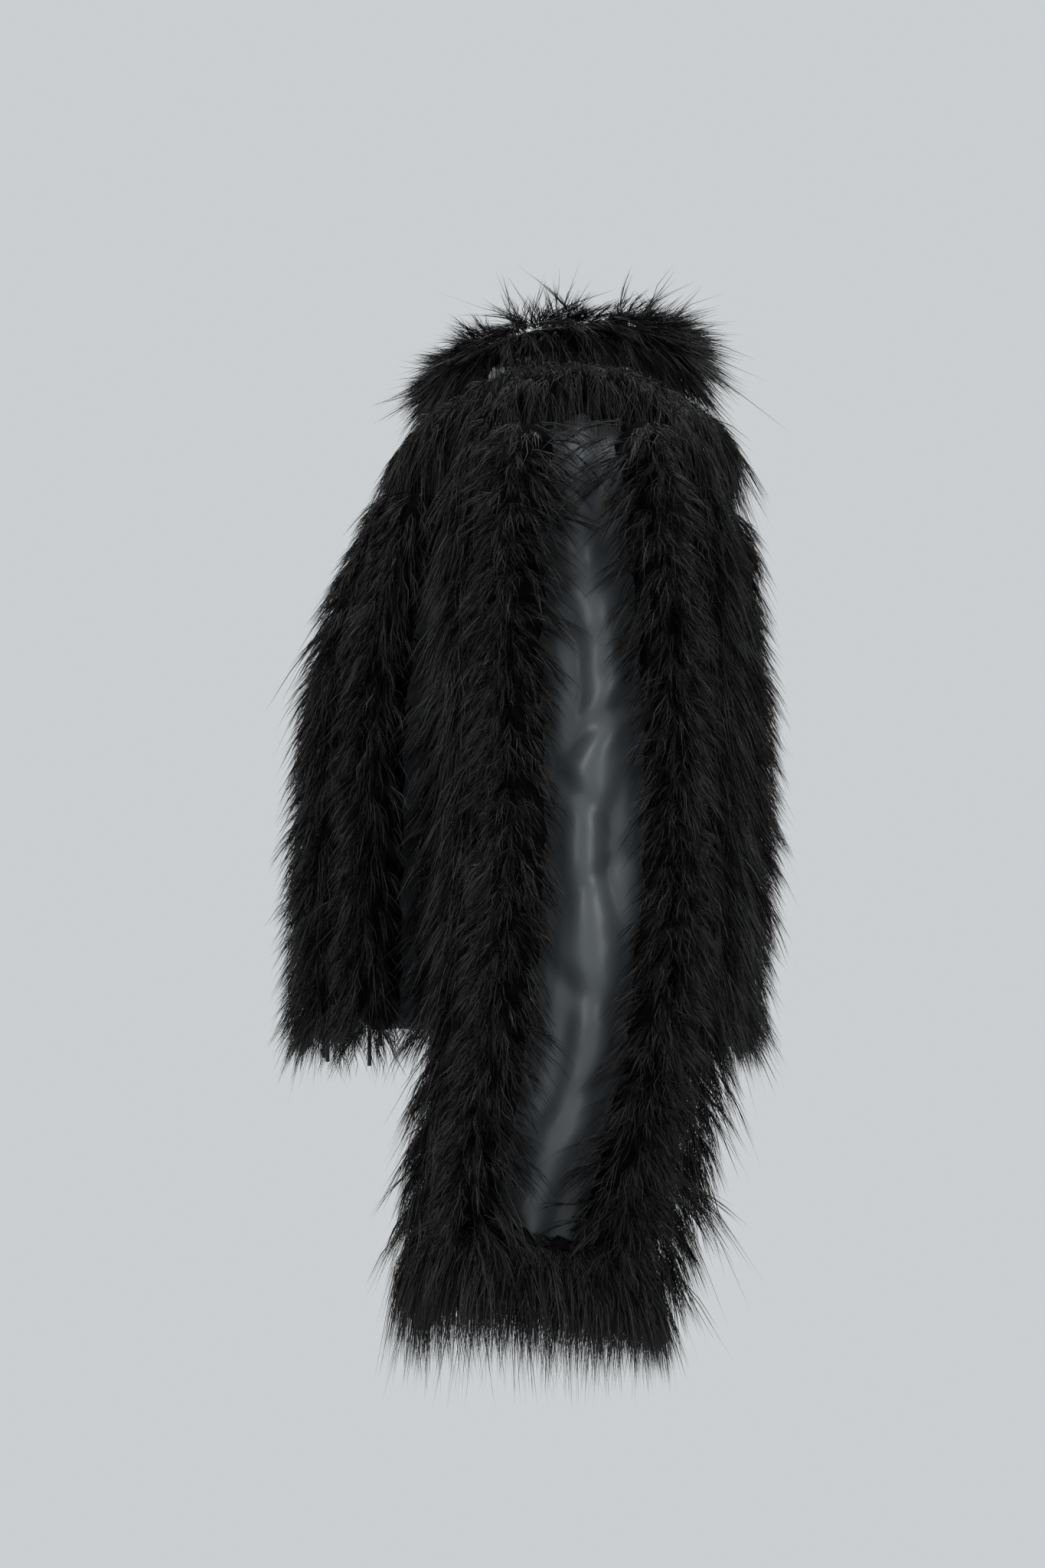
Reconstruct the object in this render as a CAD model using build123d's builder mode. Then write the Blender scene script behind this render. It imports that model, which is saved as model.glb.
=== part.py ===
"""Marabou feather jacket: rows of feather boa sewn side by side on a lined satin base.

Millimetres. The origin is the centre of the neck opening at the base of the wearer's neck.
+X is the wearer's left, +Y the wearer's back and +Z is up. The left side is modelled and
the right side is its mirror image.
"""

import os
from math import asin, cos, degrees, hypot, radians, sin, tan

from build123d import *

os.makedirs("parts", exist_ok=True)

# ---- driving dimensions ------------------------------------------------------------------

# Satin base of the body: height, half width, half depth and the place of its middle in Y.
BODY_SECTIONS = [
    (-480, 156, 119, -23),
    (-400, 158, 125, -18),
    (-300, 160, 125, -14),
    (-220, 161, 120, -13),
    (-150, 162, 105, -6),
    (-95, 162, 89, 5),
    (-55, 158, 76, 9),
    (-30, 138, 67, 10),
    (-10, 104, 59, 8),
    (8, 70, 53, 6),
    (30, 58, 49, 4),
]
HEM = BODY_SECTIONS[0][0]
NECK_TOP = BODY_SECTIONS[-1][0]
CORNER_SHARE = 0.85  # plan corner radius as a share of the half depth
YOKE_SEAM = -95  # the shoulder yoke ends here and the panels begin
NECK_SEAM = 8
SIDE_SEAM_Y = 20
FRONT_HINGE_X = 119  # a front panel folds back along this seam
FRONT_GAP = 16  # between the two unhooked front edges
SEAM_GAP = 0.5
FRONT_TOP_GAP = 1.5  # below the yoke, so that a front swings clear of it

SATIN = 1.5
LINING_GAP = 0.5
LINING = 0.8
LINING_OUTSIDE = SATIN + LINING_GAP
LINING_INSIDE = LINING_OUTSIDE + LINING

# Sleeve: middle line from the shoulder to the wrist, with the satin's radius at each point.
SLEEVE_POINTS = [
    (Vector(205, 21, -88), 48),
    (Vector(243, 23, -200), 51),
    (Vector(276, 30, -400), 50),
    (Vector(310.5, -21.5, -666), 44),
]
SLEEVE_CUT_X = 188  # the sleeve starts here; everything on the body stays inside 186
ARMHOLE_MIDDLE = (21, -117)
ARMHOLE_HALF = (46, 75)

BOA_RADIUS = 26
BOA_CLEARANCE = 3  # from the satin to the nearest fluff
BOA_LIFT = BOA_RADIUS + BOA_CLEARANCE
RING_LIFT = BOA_LIFT + 4  # a ring's arcs pass inside its stations
SLEEVE_LIFT = BOA_LIFT + 3.5
BORE_RADIUS = 2
CORE_RADIUS = 1.5

COLUMN_TOP = -100
COLUMN_BOTTOM = -506
COLUMN_X = (34, 90, 146)
COLUMN_NAMES = ("centre", "middle", "outer")
CORNER_TURN = 70  # plan angle of the squeezed rows beside the armhole
CORNER_HALF = (21, 11)
SIDE_HALF = (17, 8.5)
BACK_CORNER_TOP = -205
SIDE_TOP = -215

STRIP_EDGE_TURNS = (35, 44, 45, 44)  # sleeve angle of the rows beside the bare strip
SIDE_ROW_TURN = 90
ARCH_X = 218
ARCH_RADIUS = 76.5
UNDER_TURN = 135
UNDER_HALF = (24, 13)
UNDER_START = 0.62  # share of the upper sleeve above the first squeezed row
INNER_HALF = (20, 8)

CUFF_FROM_END = 19
CUFF_HALF = (25, 38)  # across and along the sleeve

LOOP_WIDTH = 6
LOOP_THICK = 1.2
LOOP_HALF = 21
LOOP_DROP = 34
LOOP_TOP = 22
LOOP_CLEARANCE = 0.6

HOOK_HEIGHTS = (-122, -212, -302)
WIRE_RADIUS = 0.6
WIRE_FOOT = 4
WIRE_TIP = 3.5
WIRE_HALF = 2.6
BILL_REACH = 1.4  # how far a hook's nose stands past its bent end
BILL_HEIGHT = 2.4
BILL_BACK = 2
RING_RADIUS = 1.9  # sewing rings at the wires' feet
RING_WIRE = 0.5  # thinner than the wire, so that the two join cleanly
RING_OUT = 0.3
RING_BACK = 1.5


# ---- shape of the satin ------------------------------------------------------------------


def section(height):
    """Half width, half depth, middle Y and corner radius of the body at a height."""
    height = min(max(height, HEM), NECK_TOP)
    for low, high in zip(BODY_SECTIONS, BODY_SECTIONS[1:]):
        if height <= high[0]:
            share = (height - low[0]) / (high[0] - low[0])
            half_x, half_y, mid = (
                low[i] + (high[i] - low[i]) * share for i in (1, 2, 3)
            )
            return half_x, half_y, mid, CORNER_SHARE * half_y


def skin(height, turn, lift, across=None):
    """A point lifted off the satin. turn is the plan angle in degrees, 0 at the front and 180
    at the back; across places it along the flat front or back instead of on a corner."""

    def reach(level):
        half_x, half_y, mid, radius = section(level)
        inner_x = half_x - radius if across is None else abs(across)
        side_x = 1 if sin(radians(turn)) >= 0 else -1
        side_y = -1 if cos(radians(turn)) > 0 else 1
        x = side_x * inner_x if across is None else across
        return x, mid + side_y * (half_y - radius), radius

    way_x, way_y = sin(radians(turn)), -cos(radians(turn))
    x, y, radius = reach(height)
    step = 6

    def support(level):
        at_x, at_y, r = reach(level)
        return at_x * way_x + at_y * way_y + r

    lean = (support(height - step) - support(height + step)) / (2 * step)
    length = hypot(1, lean)
    flat, rise = lift / length, lift * lean / length
    return Vector(
        x + (radius + flat) * way_x, y + (radius + flat) * way_y, height + rise
    )


def column_point(height, x, back, lift):
    """A point of an upright row whose middle keeps to one X."""
    half_x, _, _, radius = section(height)
    past = x - (half_x - radius)
    if past <= 0:
        return skin(height, 180 if back else 0, lift, across=x)
    turn = degrees(asin(past / (radius + lift)))
    return skin(height, 180 - turn if back else turn, lift)


def body_solid(inset, extend=0.0):
    """The body's outside, moved inwards; extend lengthens it past the hem and the neck."""
    with BuildPart() as made:
        for height, half_x, half_y, mid in BODY_SECTIONS:
            drop = inset if -60 < height < NECK_TOP else 0
            if height == HEM:
                drop = extend
            if height == NECK_TOP:
                drop = -extend
            with BuildSketch(Plane.XY.offset(height - drop)):
                with Locations((0, mid)):
                    RectangleRounded(
                        2 * (half_x - inset),
                        2 * (half_y - inset),
                        CORNER_SHARE * half_y - inset,
                    )
        loft(ruled=True)
    return made.part


def body_shell(outside, inside):
    """A full-height layer of cloth with its armholes and its front opening."""
    outer = body_solid(outside)
    hollow = body_solid(inside, extend=5)
    with BuildPart() as made:
        add(outer)
        add(hollow, mode=Mode.SUBTRACT)
        with BuildSketch(Plane.YZ.offset(-220)):
            with Locations(ARMHOLE_MIDDLE):
                Ellipse(*ARMHOLE_HALF)
        extrude(amount=120, mode=Mode.SUBTRACT)
        with BuildSketch(Plane.YZ.offset(100)):
            with Locations(ARMHOLE_MIDDLE):
                Ellipse(*ARMHOLE_HALF)
        extrude(amount=120, mode=Mode.SUBTRACT)
        with Locations((0, -150, -220)):
            Box(FRONT_GAP, 300, 600, mode=Mode.SUBTRACT)
    return made.part


def keep_box(low, high, mode=Mode.INTERSECT):
    """A box between two corners, which trims the part being made."""
    with Locations([(Vector(*low) + Vector(*high)) * 0.5]):
        Box(*(h - l for l, h in zip(low, high)), mode=mode)


def save(made, label):
    made.part.label = label
    export_step(made.part, f"parts/{label}.step")


def save_mirrored(made, label):
    """The right-hand copy of a left-hand piece."""
    with BuildPart() as copy:
        mirror(made.part, about=Plane.YZ)
    save(copy, label)


def save_pair(made, label):
    save(made, f"left_{label}")
    save_mirrored(made, f"right_{label}")


# ---- body: satin panels and their linings --------------------------------------------------

FAR = 600
HALF_SEAM = SEAM_GAP / 2
REGIONS = {
    "yoke": ((-FAR, -FAR, YOKE_SEAM + HALF_SEAM), (FAR, FAR, NECK_SEAM - HALF_SEAM)),
    "back": ((-FAR, SIDE_SEAM_Y + HALF_SEAM, -FAR), (FAR, FAR, YOKE_SEAM - HALF_SEAM)),
    "side": (
        (FRONT_HINGE_X + HALF_SEAM, -FAR, -FAR),
        (FAR, SIDE_SEAM_Y - HALF_SEAM, YOKE_SEAM - HALF_SEAM),
    ),
    "front": (
        (0, -FAR, -FAR),
        (FRONT_HINGE_X - HALF_SEAM, SIDE_SEAM_Y, YOKE_SEAM - FRONT_TOP_GAP),
    ),
}


def cut_from(cloth, region):
    """One panel of a full-height layer of cloth."""
    with BuildPart() as made:
        add(cloth)
        keep_box(*REGIONS[region])
    return made


satin = body_shell(0, SATIN)
with BuildPart() as neckband:
    add(satin)
    keep_box((-FAR, -FAR, NECK_SEAM + HALF_SEAM), (FAR, FAR, FAR))
save(neckband, "neckband")
save(cut_from(satin, "yoke"), "yoke")
save(cut_from(satin, "back"), "back_panel")
save_pair(cut_from(satin, "side"), "side_panel")
save_pair(cut_from(satin, "front"), "front_panel")

lining = body_shell(LINING_OUTSIDE, LINING_INSIDE)
save(cut_from(lining, "yoke"), "yoke_lining")
save(cut_from(lining, "back"), "back_lining")
save_pair(cut_from(lining, "side"), "side_lining")
save_pair(cut_from(lining, "front"), "front_lining")

# ---- sleeves: satin and lining -----------------------------------------------------------


def sleeve_frames():
    """Along, outward and forward directions at each point of the sleeve's middle line."""
    places = [point for point, _ in SLEEVE_POINTS]
    runs = [(b - a).normalized() for a, b in zip(places, places[1:])]
    frames = []
    for i in range(len(places)):
        along = (runs[max(i - 1, 0)] + runs[min(i, len(runs) - 1)]).normalized()
        outward = (Vector(1, 0, 0) - along * along.X).normalized()
        frames.append((along, outward, along.cross(outward)))
    return frames


SLEEVE_FRAMES = sleeve_frames()


def sleeve_point(index, turn, lift, onward=0.0):
    """A point beside the sleeve; turn 0 faces outward, 90 forward and -90 backward."""
    place, radius = SLEEVE_POINTS[index]
    along, outward, forward = SLEEVE_FRAMES[index]
    way = outward * cos(radians(turn)) + forward * sin(radians(turn))
    return place + way * (radius + lift) + along * onward


def between(start, end, share):
    return start + (end - start) * share


def sleeve_solid(inset, extend=0.0):
    """A domed shoulder and a tapering tube, cut where the armhole begins."""
    with BuildPart() as made:
        last = len(SLEEVE_POINTS) - 1
        for index, (place, radius) in enumerate(SLEEVE_POINTS):
            along, outward, _ = SLEEVE_FRAMES[index]
            if index == last:
                place = place + along * extend
            with BuildSketch(Plane(origin=place, x_dir=outward, z_dir=along)):
                Circle(radius - inset)
        loft(ruled=True)
        shoulder, radius = SLEEVE_POINTS[0]
        with Locations(shoulder):
            Sphere(radius - inset)
    return made.part


def sleeve_layer(outside, inside):
    outer = sleeve_solid(outside)
    hollow = sleeve_solid(inside, extend=5)
    with BuildPart() as made:
        add(outer)
        add(hollow, mode=Mode.SUBTRACT)
        keep_box((SLEEVE_CUT_X, -FAR, -2 * FAR), (FAR, FAR, FAR))
    return made


save_pair(sleeve_layer(0, SATIN), "sleeve_satin")
save_pair(sleeve_layer(LINING_OUTSIDE, LINING_INSIDE), "sleeve_lining")

# ---- boa rows ----------------------------------------------------------------------------


def bend_radii(points):
    """The largest arc that the runs beside each corner leave room for."""
    radii = []
    for before, at, after in zip(points, points[1:], points[2:]):
        turn = (at - before).get_angle(after - at)
        run = min((at - before).length, (after - at).length)
        radii.append(0.45 * run / tan(radians(turn / 2)))
    return radii


def swept(points, across, *shapes):
    """Sweep the sketch drawn by the shapes along a route of straight runs and arcs."""
    with BuildPart() as made:
        with BuildLine() as route:
            if len(points) > 2:
                FilletPolyline(*points, radius=bend_radii(points))
            else:
                Line(*points)
        start = points[1] - points[0]
        with BuildSketch(Plane(origin=points[0], x_dir=across, z_dir=start)):
            for shape in shapes:
                shape()
        sweep(path=route.line)
    return made


def bore():
    Circle(BORE_RADIUS, mode=Mode.SUBTRACT)


def fluff(points, across, half=(BOA_RADIUS, BOA_RADIUS)):
    """One row of feathers, hollow where its cord runs."""
    return swept(points, across, lambda: Ellipse(*half), bore)


def cord(points, across):
    """The twisted cotton cord that the feathers are bound to."""
    return swept(points, across, lambda: Circle(CORE_RADIUS)).part


LEVELS = (-150, -220, -300, -400)


def column(x, back, top=COLUMN_TOP):
    """The route of an upright row, from its top to below the hem."""
    levels = [top, *[z for z in LEVELS if z < top - 20], COLUMN_BOTTOM]
    return [column_point(z, x, back, BOA_LIFT) for z in levels]


def corner(turn, half_thick, top):
    """The route of a squeezed row beside or below the armhole."""
    levels = [top, *[z for z in LEVELS if z < top - 20], COLUMN_BOTTOM]
    return [skin(z, turn, half_thick + BOA_CLEARANCE) for z in levels]


def plan_across(turn):
    return (cos(radians(turn)), sin(radians(turn)), 0)


body_cords, front_cords = [], []

for name, x in zip(COLUMN_NAMES, COLUMN_X):
    for back, side in ((False, "front"), (True, "back")):
        route = column(x, back)
        save_pair(fluff(route, (1, 0, 0)), f"{side}_{name}_row")
        on_front = not back and x < FRONT_HINGE_X
        (front_cords if on_front else body_cords).append(cord(route, (1, 0, 0)))

for turn, side, top in (
    (CORNER_TURN, "front", COLUMN_TOP - 12),
    (180 - CORNER_TURN, "back", BACK_CORNER_TOP),
):
    route = corner(turn, CORNER_HALF[1], top)
    save_pair(fluff(route, plan_across(turn), CORNER_HALF), f"{side}_corner_row")
    body_cords.append(cord(route, plan_across(turn)))

SIDE_TURN = 90.0
route = corner(SIDE_TURN, SIDE_HALF[1], SIDE_TOP)
save_pair(fluff(route, plan_across(SIDE_TURN), SIDE_HALF), "side_row")
body_cords.append(cord(route, plan_across(SIDE_TURN)))


def ring(stations, end_height, end_x):
    """An open ring round the neck, from the left front edge to the right front edge."""
    half = [skin(end_height, 0, RING_LIFT, across=end_x)]
    half += [skin(height, turn, RING_LIFT) for turn, height in stations]
    return half + [Vector(-p.X, p.Y, p.Z) for p in reversed(half)]


RING_END_X = FRONT_GAP / 2 + 2
COLLAR_STATIONS = ((25, -14), (55, -6), (85, 2), (115, 8), (145, 11), (166, 12))
YOKE_STATIONS = (
    (18, -64),
    (42, -50),
    (66, -34),
    (90, -28),
    (114, -33),
    (140, -45),
    (164, -54),
)
collar_route = ring(COLLAR_STATIONS, -16, RING_END_X)
yoke_route = ring(YOKE_STATIONS, -68, RING_END_X)
save(fluff(collar_route, (0, 0, 1)), "collar_row")
save(fluff(yoke_route, (0, 0, 1)), "yoke_row")
ring_cords = [cord(collar_route, (0, 0, 1)), cord(yoke_route, (0, 0, 1))]

with BuildPart() as body_core_cords:
    for core in body_cords:
        add(core)
        mirror(core, about=Plane.YZ)
    for core in ring_cords:
        add(core)
save(body_core_cords, "body_core_cords")

with BuildPart() as front_core_cords:
    for core in front_cords:
        add(core)
save_pair(front_core_cords, "front_core_cords")

# ---- sleeve rows -------------------------------------------------------------------------

LAST = len(SLEEVE_POINTS) - 1
CUFF_MIDDLE = SLEEVE_POINTS[LAST][0] - SLEEVE_FRAMES[LAST][0] * CUFF_FROM_END
ROW_STOP = -(CUFF_FROM_END + CUFF_HALF[1] + BOA_CLEARANCE)
sleeve_cords = []


def sleeve_row(turns, lift, first=0):
    """Route down the sleeve, ending above the cuff."""
    points = [sleeve_point(i, turns[i], lift) for i in range(first, LAST)]
    return points + [sleeve_point(LAST, turns[LAST], lift, ROW_STOP)]


def add_sleeve_row(route, across, label, half=(BOA_RADIUS, BOA_RADIUS)):
    save_pair(fluff(route, across, half), label)
    sleeve_cords.append(cord(route, across))


for sign, side in ((1, "front"), (-1, "back")):
    turns = [sign * turn for turn in STRIP_EDGE_TURNS]
    add_sleeve_row(sleeve_row(turns, SLEEVE_LIFT), (0, 1, 0), f"sleeve_{side}_strip_row")

shoulder = SLEEVE_POINTS[0][0]
ARCH_STEP = 36
corner_radius = ARCH_RADIUS / cos(radians(ARCH_STEP / 2))  # the arcs pass inside the corners
arch = [
    Vector(
        ARCH_X,
        shoulder.Y - corner_radius * cos(radians(angle)),
        shoulder.Z + corner_radius * sin(radians(angle)),
    )
    for angle in range(0, 181, ARCH_STEP)
]
front_leg = sleeve_row([SIDE_ROW_TURN] * (LAST + 1), SLEEVE_LIFT, first=1)
back_leg = sleeve_row([-SIDE_ROW_TURN] * (LAST + 1), SLEEVE_LIFT, first=1)
arch_route = front_leg[::-1] + arch + back_leg
add_sleeve_row(arch_route, (1, 0, 0), "sleeve_shoulder_row")

for turn, side in ((UNDER_TURN, "front"), (-UNDER_TURN, "back")):
    lift = UNDER_HALF[1] + BOA_CLEARANCE
    route = sleeve_row([turn] * (LAST + 1), lift, first=1)
    route[0] = between(route[0], route[1], UNDER_START)
    along, outward, forward = SLEEVE_FRAMES[LAST]
    tangent = forward * cos(radians(turn)) - outward * sin(radians(turn))
    add_sleeve_row(route, tangent, f"sleeve_{side}_under_row", UNDER_HALF)

route = sleeve_row([180] * (LAST + 1), INNER_HALF[1] + BOA_CLEARANCE, first=1)
route[0] = between(route[0], route[1], UNDER_START)
add_sleeve_row(route, (0, 1, 0), "sleeve_inner_row", INNER_HALF)


def cuff_ring(draw):
    """A closed ring about the sleeve's end, made by turning a sketch round the sleeve."""
    along, outward, _ = SLEEVE_FRAMES[LAST]
    middle = SLEEVE_POINTS[LAST][1] + BOA_CLEARANCE + CUFF_HALF[0]
    with BuildPart() as made:
        with BuildSketch(
            Plane(origin=CUFF_MIDDLE, x_dir=outward, z_dir=outward.cross(along))
        ):
            with Locations((middle, 0)):
                draw()
        revolve(axis=Axis(CUFF_MIDDLE, along))
    return made


def cuff_fluff():
    Ellipse(*CUFF_HALF)
    bore()


save_pair(cuff_ring(cuff_fluff), "cuff_row")
sleeve_cords.append(cuff_ring(lambda: Circle(CORE_RADIUS)).part)

with BuildPart() as sleeve_core_cords:
    for core in sleeve_cords:
        add(core)
save_pair(sleeve_core_cords, "sleeve_core_cords")

# ---- hanger loop -------------------------------------------------------------------------

LOOP_TOP_Y = skin(LOOP_TOP, 180, 0, across=0).Y - LINING_INSIDE - LOOP_THICK - LOOP_CLEARANCE
with BuildPart() as hanger_loop:
    with BuildSketch(Plane(origin=(0, LOOP_TOP_Y, LOOP_TOP), x_dir=(1, 0, 0), z_dir=(0, 1, 0))):
        with Locations((0, LOOP_DROP / 2)):
            RectangleRounded(2 * LOOP_HALF, LOOP_DROP, 10)
        with Locations((0, (LOOP_DROP - LOOP_WIDTH) / 2)):
            RectangleRounded(
                2 * (LOOP_HALF - LOOP_WIDTH), LOOP_DROP - LOOP_WIDTH, 4, mode=Mode.SUBTRACT
            )
    extrude(amount=LOOP_THICK)
save(hanger_loop, "hanger_loop")

# ---- hooks and eyes ----------------------------------------------------------------------


def edge_plane(height, inward_by):
    """A plane on the inside of the left front edge: X runs to the middle, Y up the edge."""
    up = skin(height + 10, 0, 0, across=0) - skin(height - 10, 0, 0, across=0)
    inward = up.cross(Vector(1, 0, 0)).normalized() * -1
    if inward.Y < 0:
        inward = inward * -1
    at = skin(height, 0, 0, across=FRONT_GAP / 2) + inward * (LINING_INSIDE + inward_by)
    return Plane(origin=at, x_dir=(-1, 0, 0), z_dir=Vector(-1, 0, 0).cross(up))


def bent_wire(plane, corners):
    """A round wire through corners given in the plane's own X, Y and Z."""
    places = [plane.from_local_coords(Vector(*corner)) for corner in corners]
    return swept(places, plane.y_dir, lambda: Circle(WIRE_RADIUS)).part


def wire_part(planes, with_bill):
    """Bent wires with a sewing ring at each foot; a hook also has a bill folded back."""
    foot, tip, side = -WIRE_FOOT, WIRE_TIP, WIRE_HALF
    outlines = [[(foot, side, 0), (tip, side, 0), (tip, -side, 0), (foot, -side, 0)]]
    if with_bill:
        nose = (tip + BILL_REACH, 0, 0.4 * BILL_HEIGHT)
        turned = (tip + 0.4 * BILL_REACH, 0, 0.9 * BILL_HEIGHT)
        outlines.append([(tip, 0, 0), nose, turned, (-BILL_BACK, 0, BILL_HEIGHT)])
    wires = [bent_wire(plane, outline) for plane in planes for outline in outlines]
    with BuildPart() as made:
        for wire in wires:
            add(wire)
        for plane in planes:
            for sideways in (side + RING_OUT, -side - RING_OUT):
                ring_middle = plane.from_local_coords(Vector(foot - RING_BACK, sideways, 0))
                with Locations(Plane(origin=ring_middle, z_dir=plane.z_dir)):
                    Torus(RING_RADIUS, RING_WIRE)
    return made


planes = [edge_plane(height, WIRE_RADIUS + SEAM_GAP) for height in HOOK_HEIGHTS]
save(wire_part(planes, with_bill=True), "front_hooks")
save_mirrored(wire_part(planes, with_bill=False), "front_eyes")
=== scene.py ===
# %% [markdown]
# # A marabou feather jacket
# Marabou is the soft under-plumage of a turkey. It is bound to a twisted cord to make a boa,
# and this jacket is a satin shell covered in boas that lie side by side. The CAD frame holds
# the size of every row, panel and joint. This file gives those rows their feathers and the
# cloth its folds, and it changes no size.

# %% Load the frame
import math

import bpy
import numpy as np
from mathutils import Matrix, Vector


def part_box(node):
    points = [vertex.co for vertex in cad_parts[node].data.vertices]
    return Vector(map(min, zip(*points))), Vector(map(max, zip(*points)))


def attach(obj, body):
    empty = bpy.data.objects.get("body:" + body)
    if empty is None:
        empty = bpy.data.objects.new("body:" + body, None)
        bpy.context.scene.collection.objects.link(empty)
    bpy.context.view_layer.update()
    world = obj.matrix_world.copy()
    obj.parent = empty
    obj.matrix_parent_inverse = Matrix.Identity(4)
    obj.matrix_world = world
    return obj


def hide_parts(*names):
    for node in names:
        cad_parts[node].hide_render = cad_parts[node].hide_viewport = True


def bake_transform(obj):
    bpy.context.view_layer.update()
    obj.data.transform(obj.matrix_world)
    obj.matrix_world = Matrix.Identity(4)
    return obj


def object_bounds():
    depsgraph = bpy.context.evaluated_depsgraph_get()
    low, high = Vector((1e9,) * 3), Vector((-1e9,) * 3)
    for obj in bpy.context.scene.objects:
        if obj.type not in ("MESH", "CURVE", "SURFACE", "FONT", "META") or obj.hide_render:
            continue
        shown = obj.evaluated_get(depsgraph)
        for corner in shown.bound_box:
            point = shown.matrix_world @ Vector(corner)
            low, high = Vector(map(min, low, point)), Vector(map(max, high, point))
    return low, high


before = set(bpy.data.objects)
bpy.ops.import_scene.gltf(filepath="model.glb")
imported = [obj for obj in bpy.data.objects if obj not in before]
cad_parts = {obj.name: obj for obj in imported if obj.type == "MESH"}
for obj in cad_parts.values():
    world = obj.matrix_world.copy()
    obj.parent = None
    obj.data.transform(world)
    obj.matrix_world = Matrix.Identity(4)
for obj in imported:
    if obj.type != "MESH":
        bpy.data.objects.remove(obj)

CAD_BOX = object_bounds()
print("CAD box", [[round(v, 3) for v in corner] for corner in CAD_BOX])

# %% [markdown]
# ## Camera, light and floor
# The jacket is seen square from the wearer's left, from far enough away that it looks almost
# flat. Black feathers show only what they reflect, so the light is large and soft: a wide
# panel on each side of the camera, one overhead, and one behind for the pale fringe of barbs.

# %% Camera
CAMERA_DISTANCE = 4.0
VIEW_HEIGHT_AT_JACKET = 1.178
camera_data = bpy.data.cameras.new("camera")
camera_data.sensor_fit = "VERTICAL"
camera_data.angle = 2 * math.atan(VIEW_HEIGHT_AT_JACKET / 2 / CAMERA_DISTANCE)
camera = bpy.data.objects.new("camera", camera_data)
camera.location = (CAMERA_DISTANCE, -0.023, -0.302)
camera.rotation_euler = (math.radians(90), 0, math.radians(90))
bpy.context.collection.objects.link(camera)
bpy.context.scene.camera = camera
bpy.context.scene.view_settings.view_transform = "Standard"


# %% [markdown]
# ## Lights
# An area light has a size, and a large one leaves no hard shadow and a long soft highlight.
# Sun or spot lamps would be quicker to place, but black feathers would show only as glints.
# Each panel is turned with a track quaternion, so that its -Z axis points at the jacket.

# %% Panel lights
def panel_light(name, place, size, power, aim=(0, 0, -0.3)):
    data = bpy.data.lights.new(name, "AREA")
    data.shape = "RECTANGLE"
    data.size, data.size_y = size
    data.energy = power
    light = bpy.data.objects.new(name, data)
    light.location = place
    light.rotation_euler = (Vector(aim) - Vector(place)).to_track_quat("-Z", "Y").to_euler()
    bpy.context.collection.objects.link(light)


panel_light("key_left", (2.4, -2.6, 1.3), (1.6, 2.2), 60)
panel_light("key_right", (2.6, 2.4, 1.0), (1.6, 2.2), 45)
panel_light("overhead", (0.2, 0.0, 2.6), (2.4, 2.4), 40)
panel_light("back_fill", (-2.6, 0.4, 0.8), (2.0, 2.2), 30)

# %% [markdown]
# ## Backdrop and floor
# The world is a plain pale grey, which is also the light that fills the shadows. The floor is
# a disc far enough below the cuffs to leave them free.

# %% Backdrop and floor
world = bpy.data.worlds.new("studio")
world.use_nodes = True
background = world.node_tree.nodes["Background"]
background.inputs["Color"].default_value = (0.60, 0.62, 0.635, 1)
background.inputs["Strength"].default_value = 1.0
bpy.context.scene.world = world

FLOOR_HEIGHT, FLOOR_RADIUS = -1.0, 0.66
bpy.ops.object.select_all(action="DESELECT")
bpy.ops.mesh.primitive_circle_add(
    vertices=96, radius=FLOOR_RADIUS, fill_type="NGON", location=(0, 0, FLOOR_HEIGHT)
)
floor = bpy.context.object
floor.name = "floor"
print(len(bpy.data.lights), "lights, and a floor at", FLOOR_HEIGHT)

# %% [markdown]
# ## Shader maths in plain Python
# A node tree is easier to read as an expression. `Value` wraps an output socket, so that
# `noise * 0.2 + 0.4` adds the Math nodes. `Finish.add` makes any other node, from its type,
# its settings and what goes into its sockets.


# %% Shader helpers
class Value:
    """A number that varies over a surface."""

    def __init__(self, finish, socket):
        self.finish, self.socket = finish, socket

    def maths(self, operation, other, swap=False):
        pair = (other, self) if swap else (self, other)
        return self.finish.add("ShaderNodeMath", {"operation": operation}, dict(enumerate(pair)))

    def __add__(self, other):
        return self.maths("ADD", other)

    def __sub__(self, other):
        return self.maths("SUBTRACT", other)

    def __rsub__(self, other):
        return self.maths("SUBTRACT", other, swap=True)

    def __mul__(self, other):
        return self.maths("MULTIPLY", other)

    __radd__, __rmul__ = __add__, __mul__


class Finish:
    """One material and the nodes in it."""

    def __init__(self, name, **uniform):
        self.material = bpy.data.materials.new(name)
        self.material.use_nodes = True
        self.nodes = self.material.node_tree.nodes
        self.shader = self.nodes["Principled BSDF"]
        for socket, value in uniform.items():
            self.shader.inputs[socket.replace("_", " ")].default_value = value

    def add(self, kind, settings=None, inputs=None, output=0):
        node = self.nodes.new(kind)
        for key, value in (settings or {}).items():
            if key == "ramp":
                self.fill_ramp(node.color_ramp, value)
            else:
                setattr(node, key, value)
        for key, value in (inputs or {}).items():
            self.feed(node.inputs[key], value)
        return Value(self, node.outputs[output])

    @staticmethod
    def fill_ramp(ramp, stops):
        while len(ramp.elements) < len(stops):
            ramp.elements.new(0.5)
        for element, (place, colour) in zip(ramp.elements, stops):
            element.position, element.color = place, (*colour, 1)

    def feed(self, socket, value):
        if isinstance(value, Value):
            self.material.node_tree.links.new(value.socket, socket)
        else:
            socket.default_value = value

    def paint(self, **sockets):
        for name, value in sockets.items():
            self.feed(self.shader.inputs[name.replace("_", " ")], value)


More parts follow.
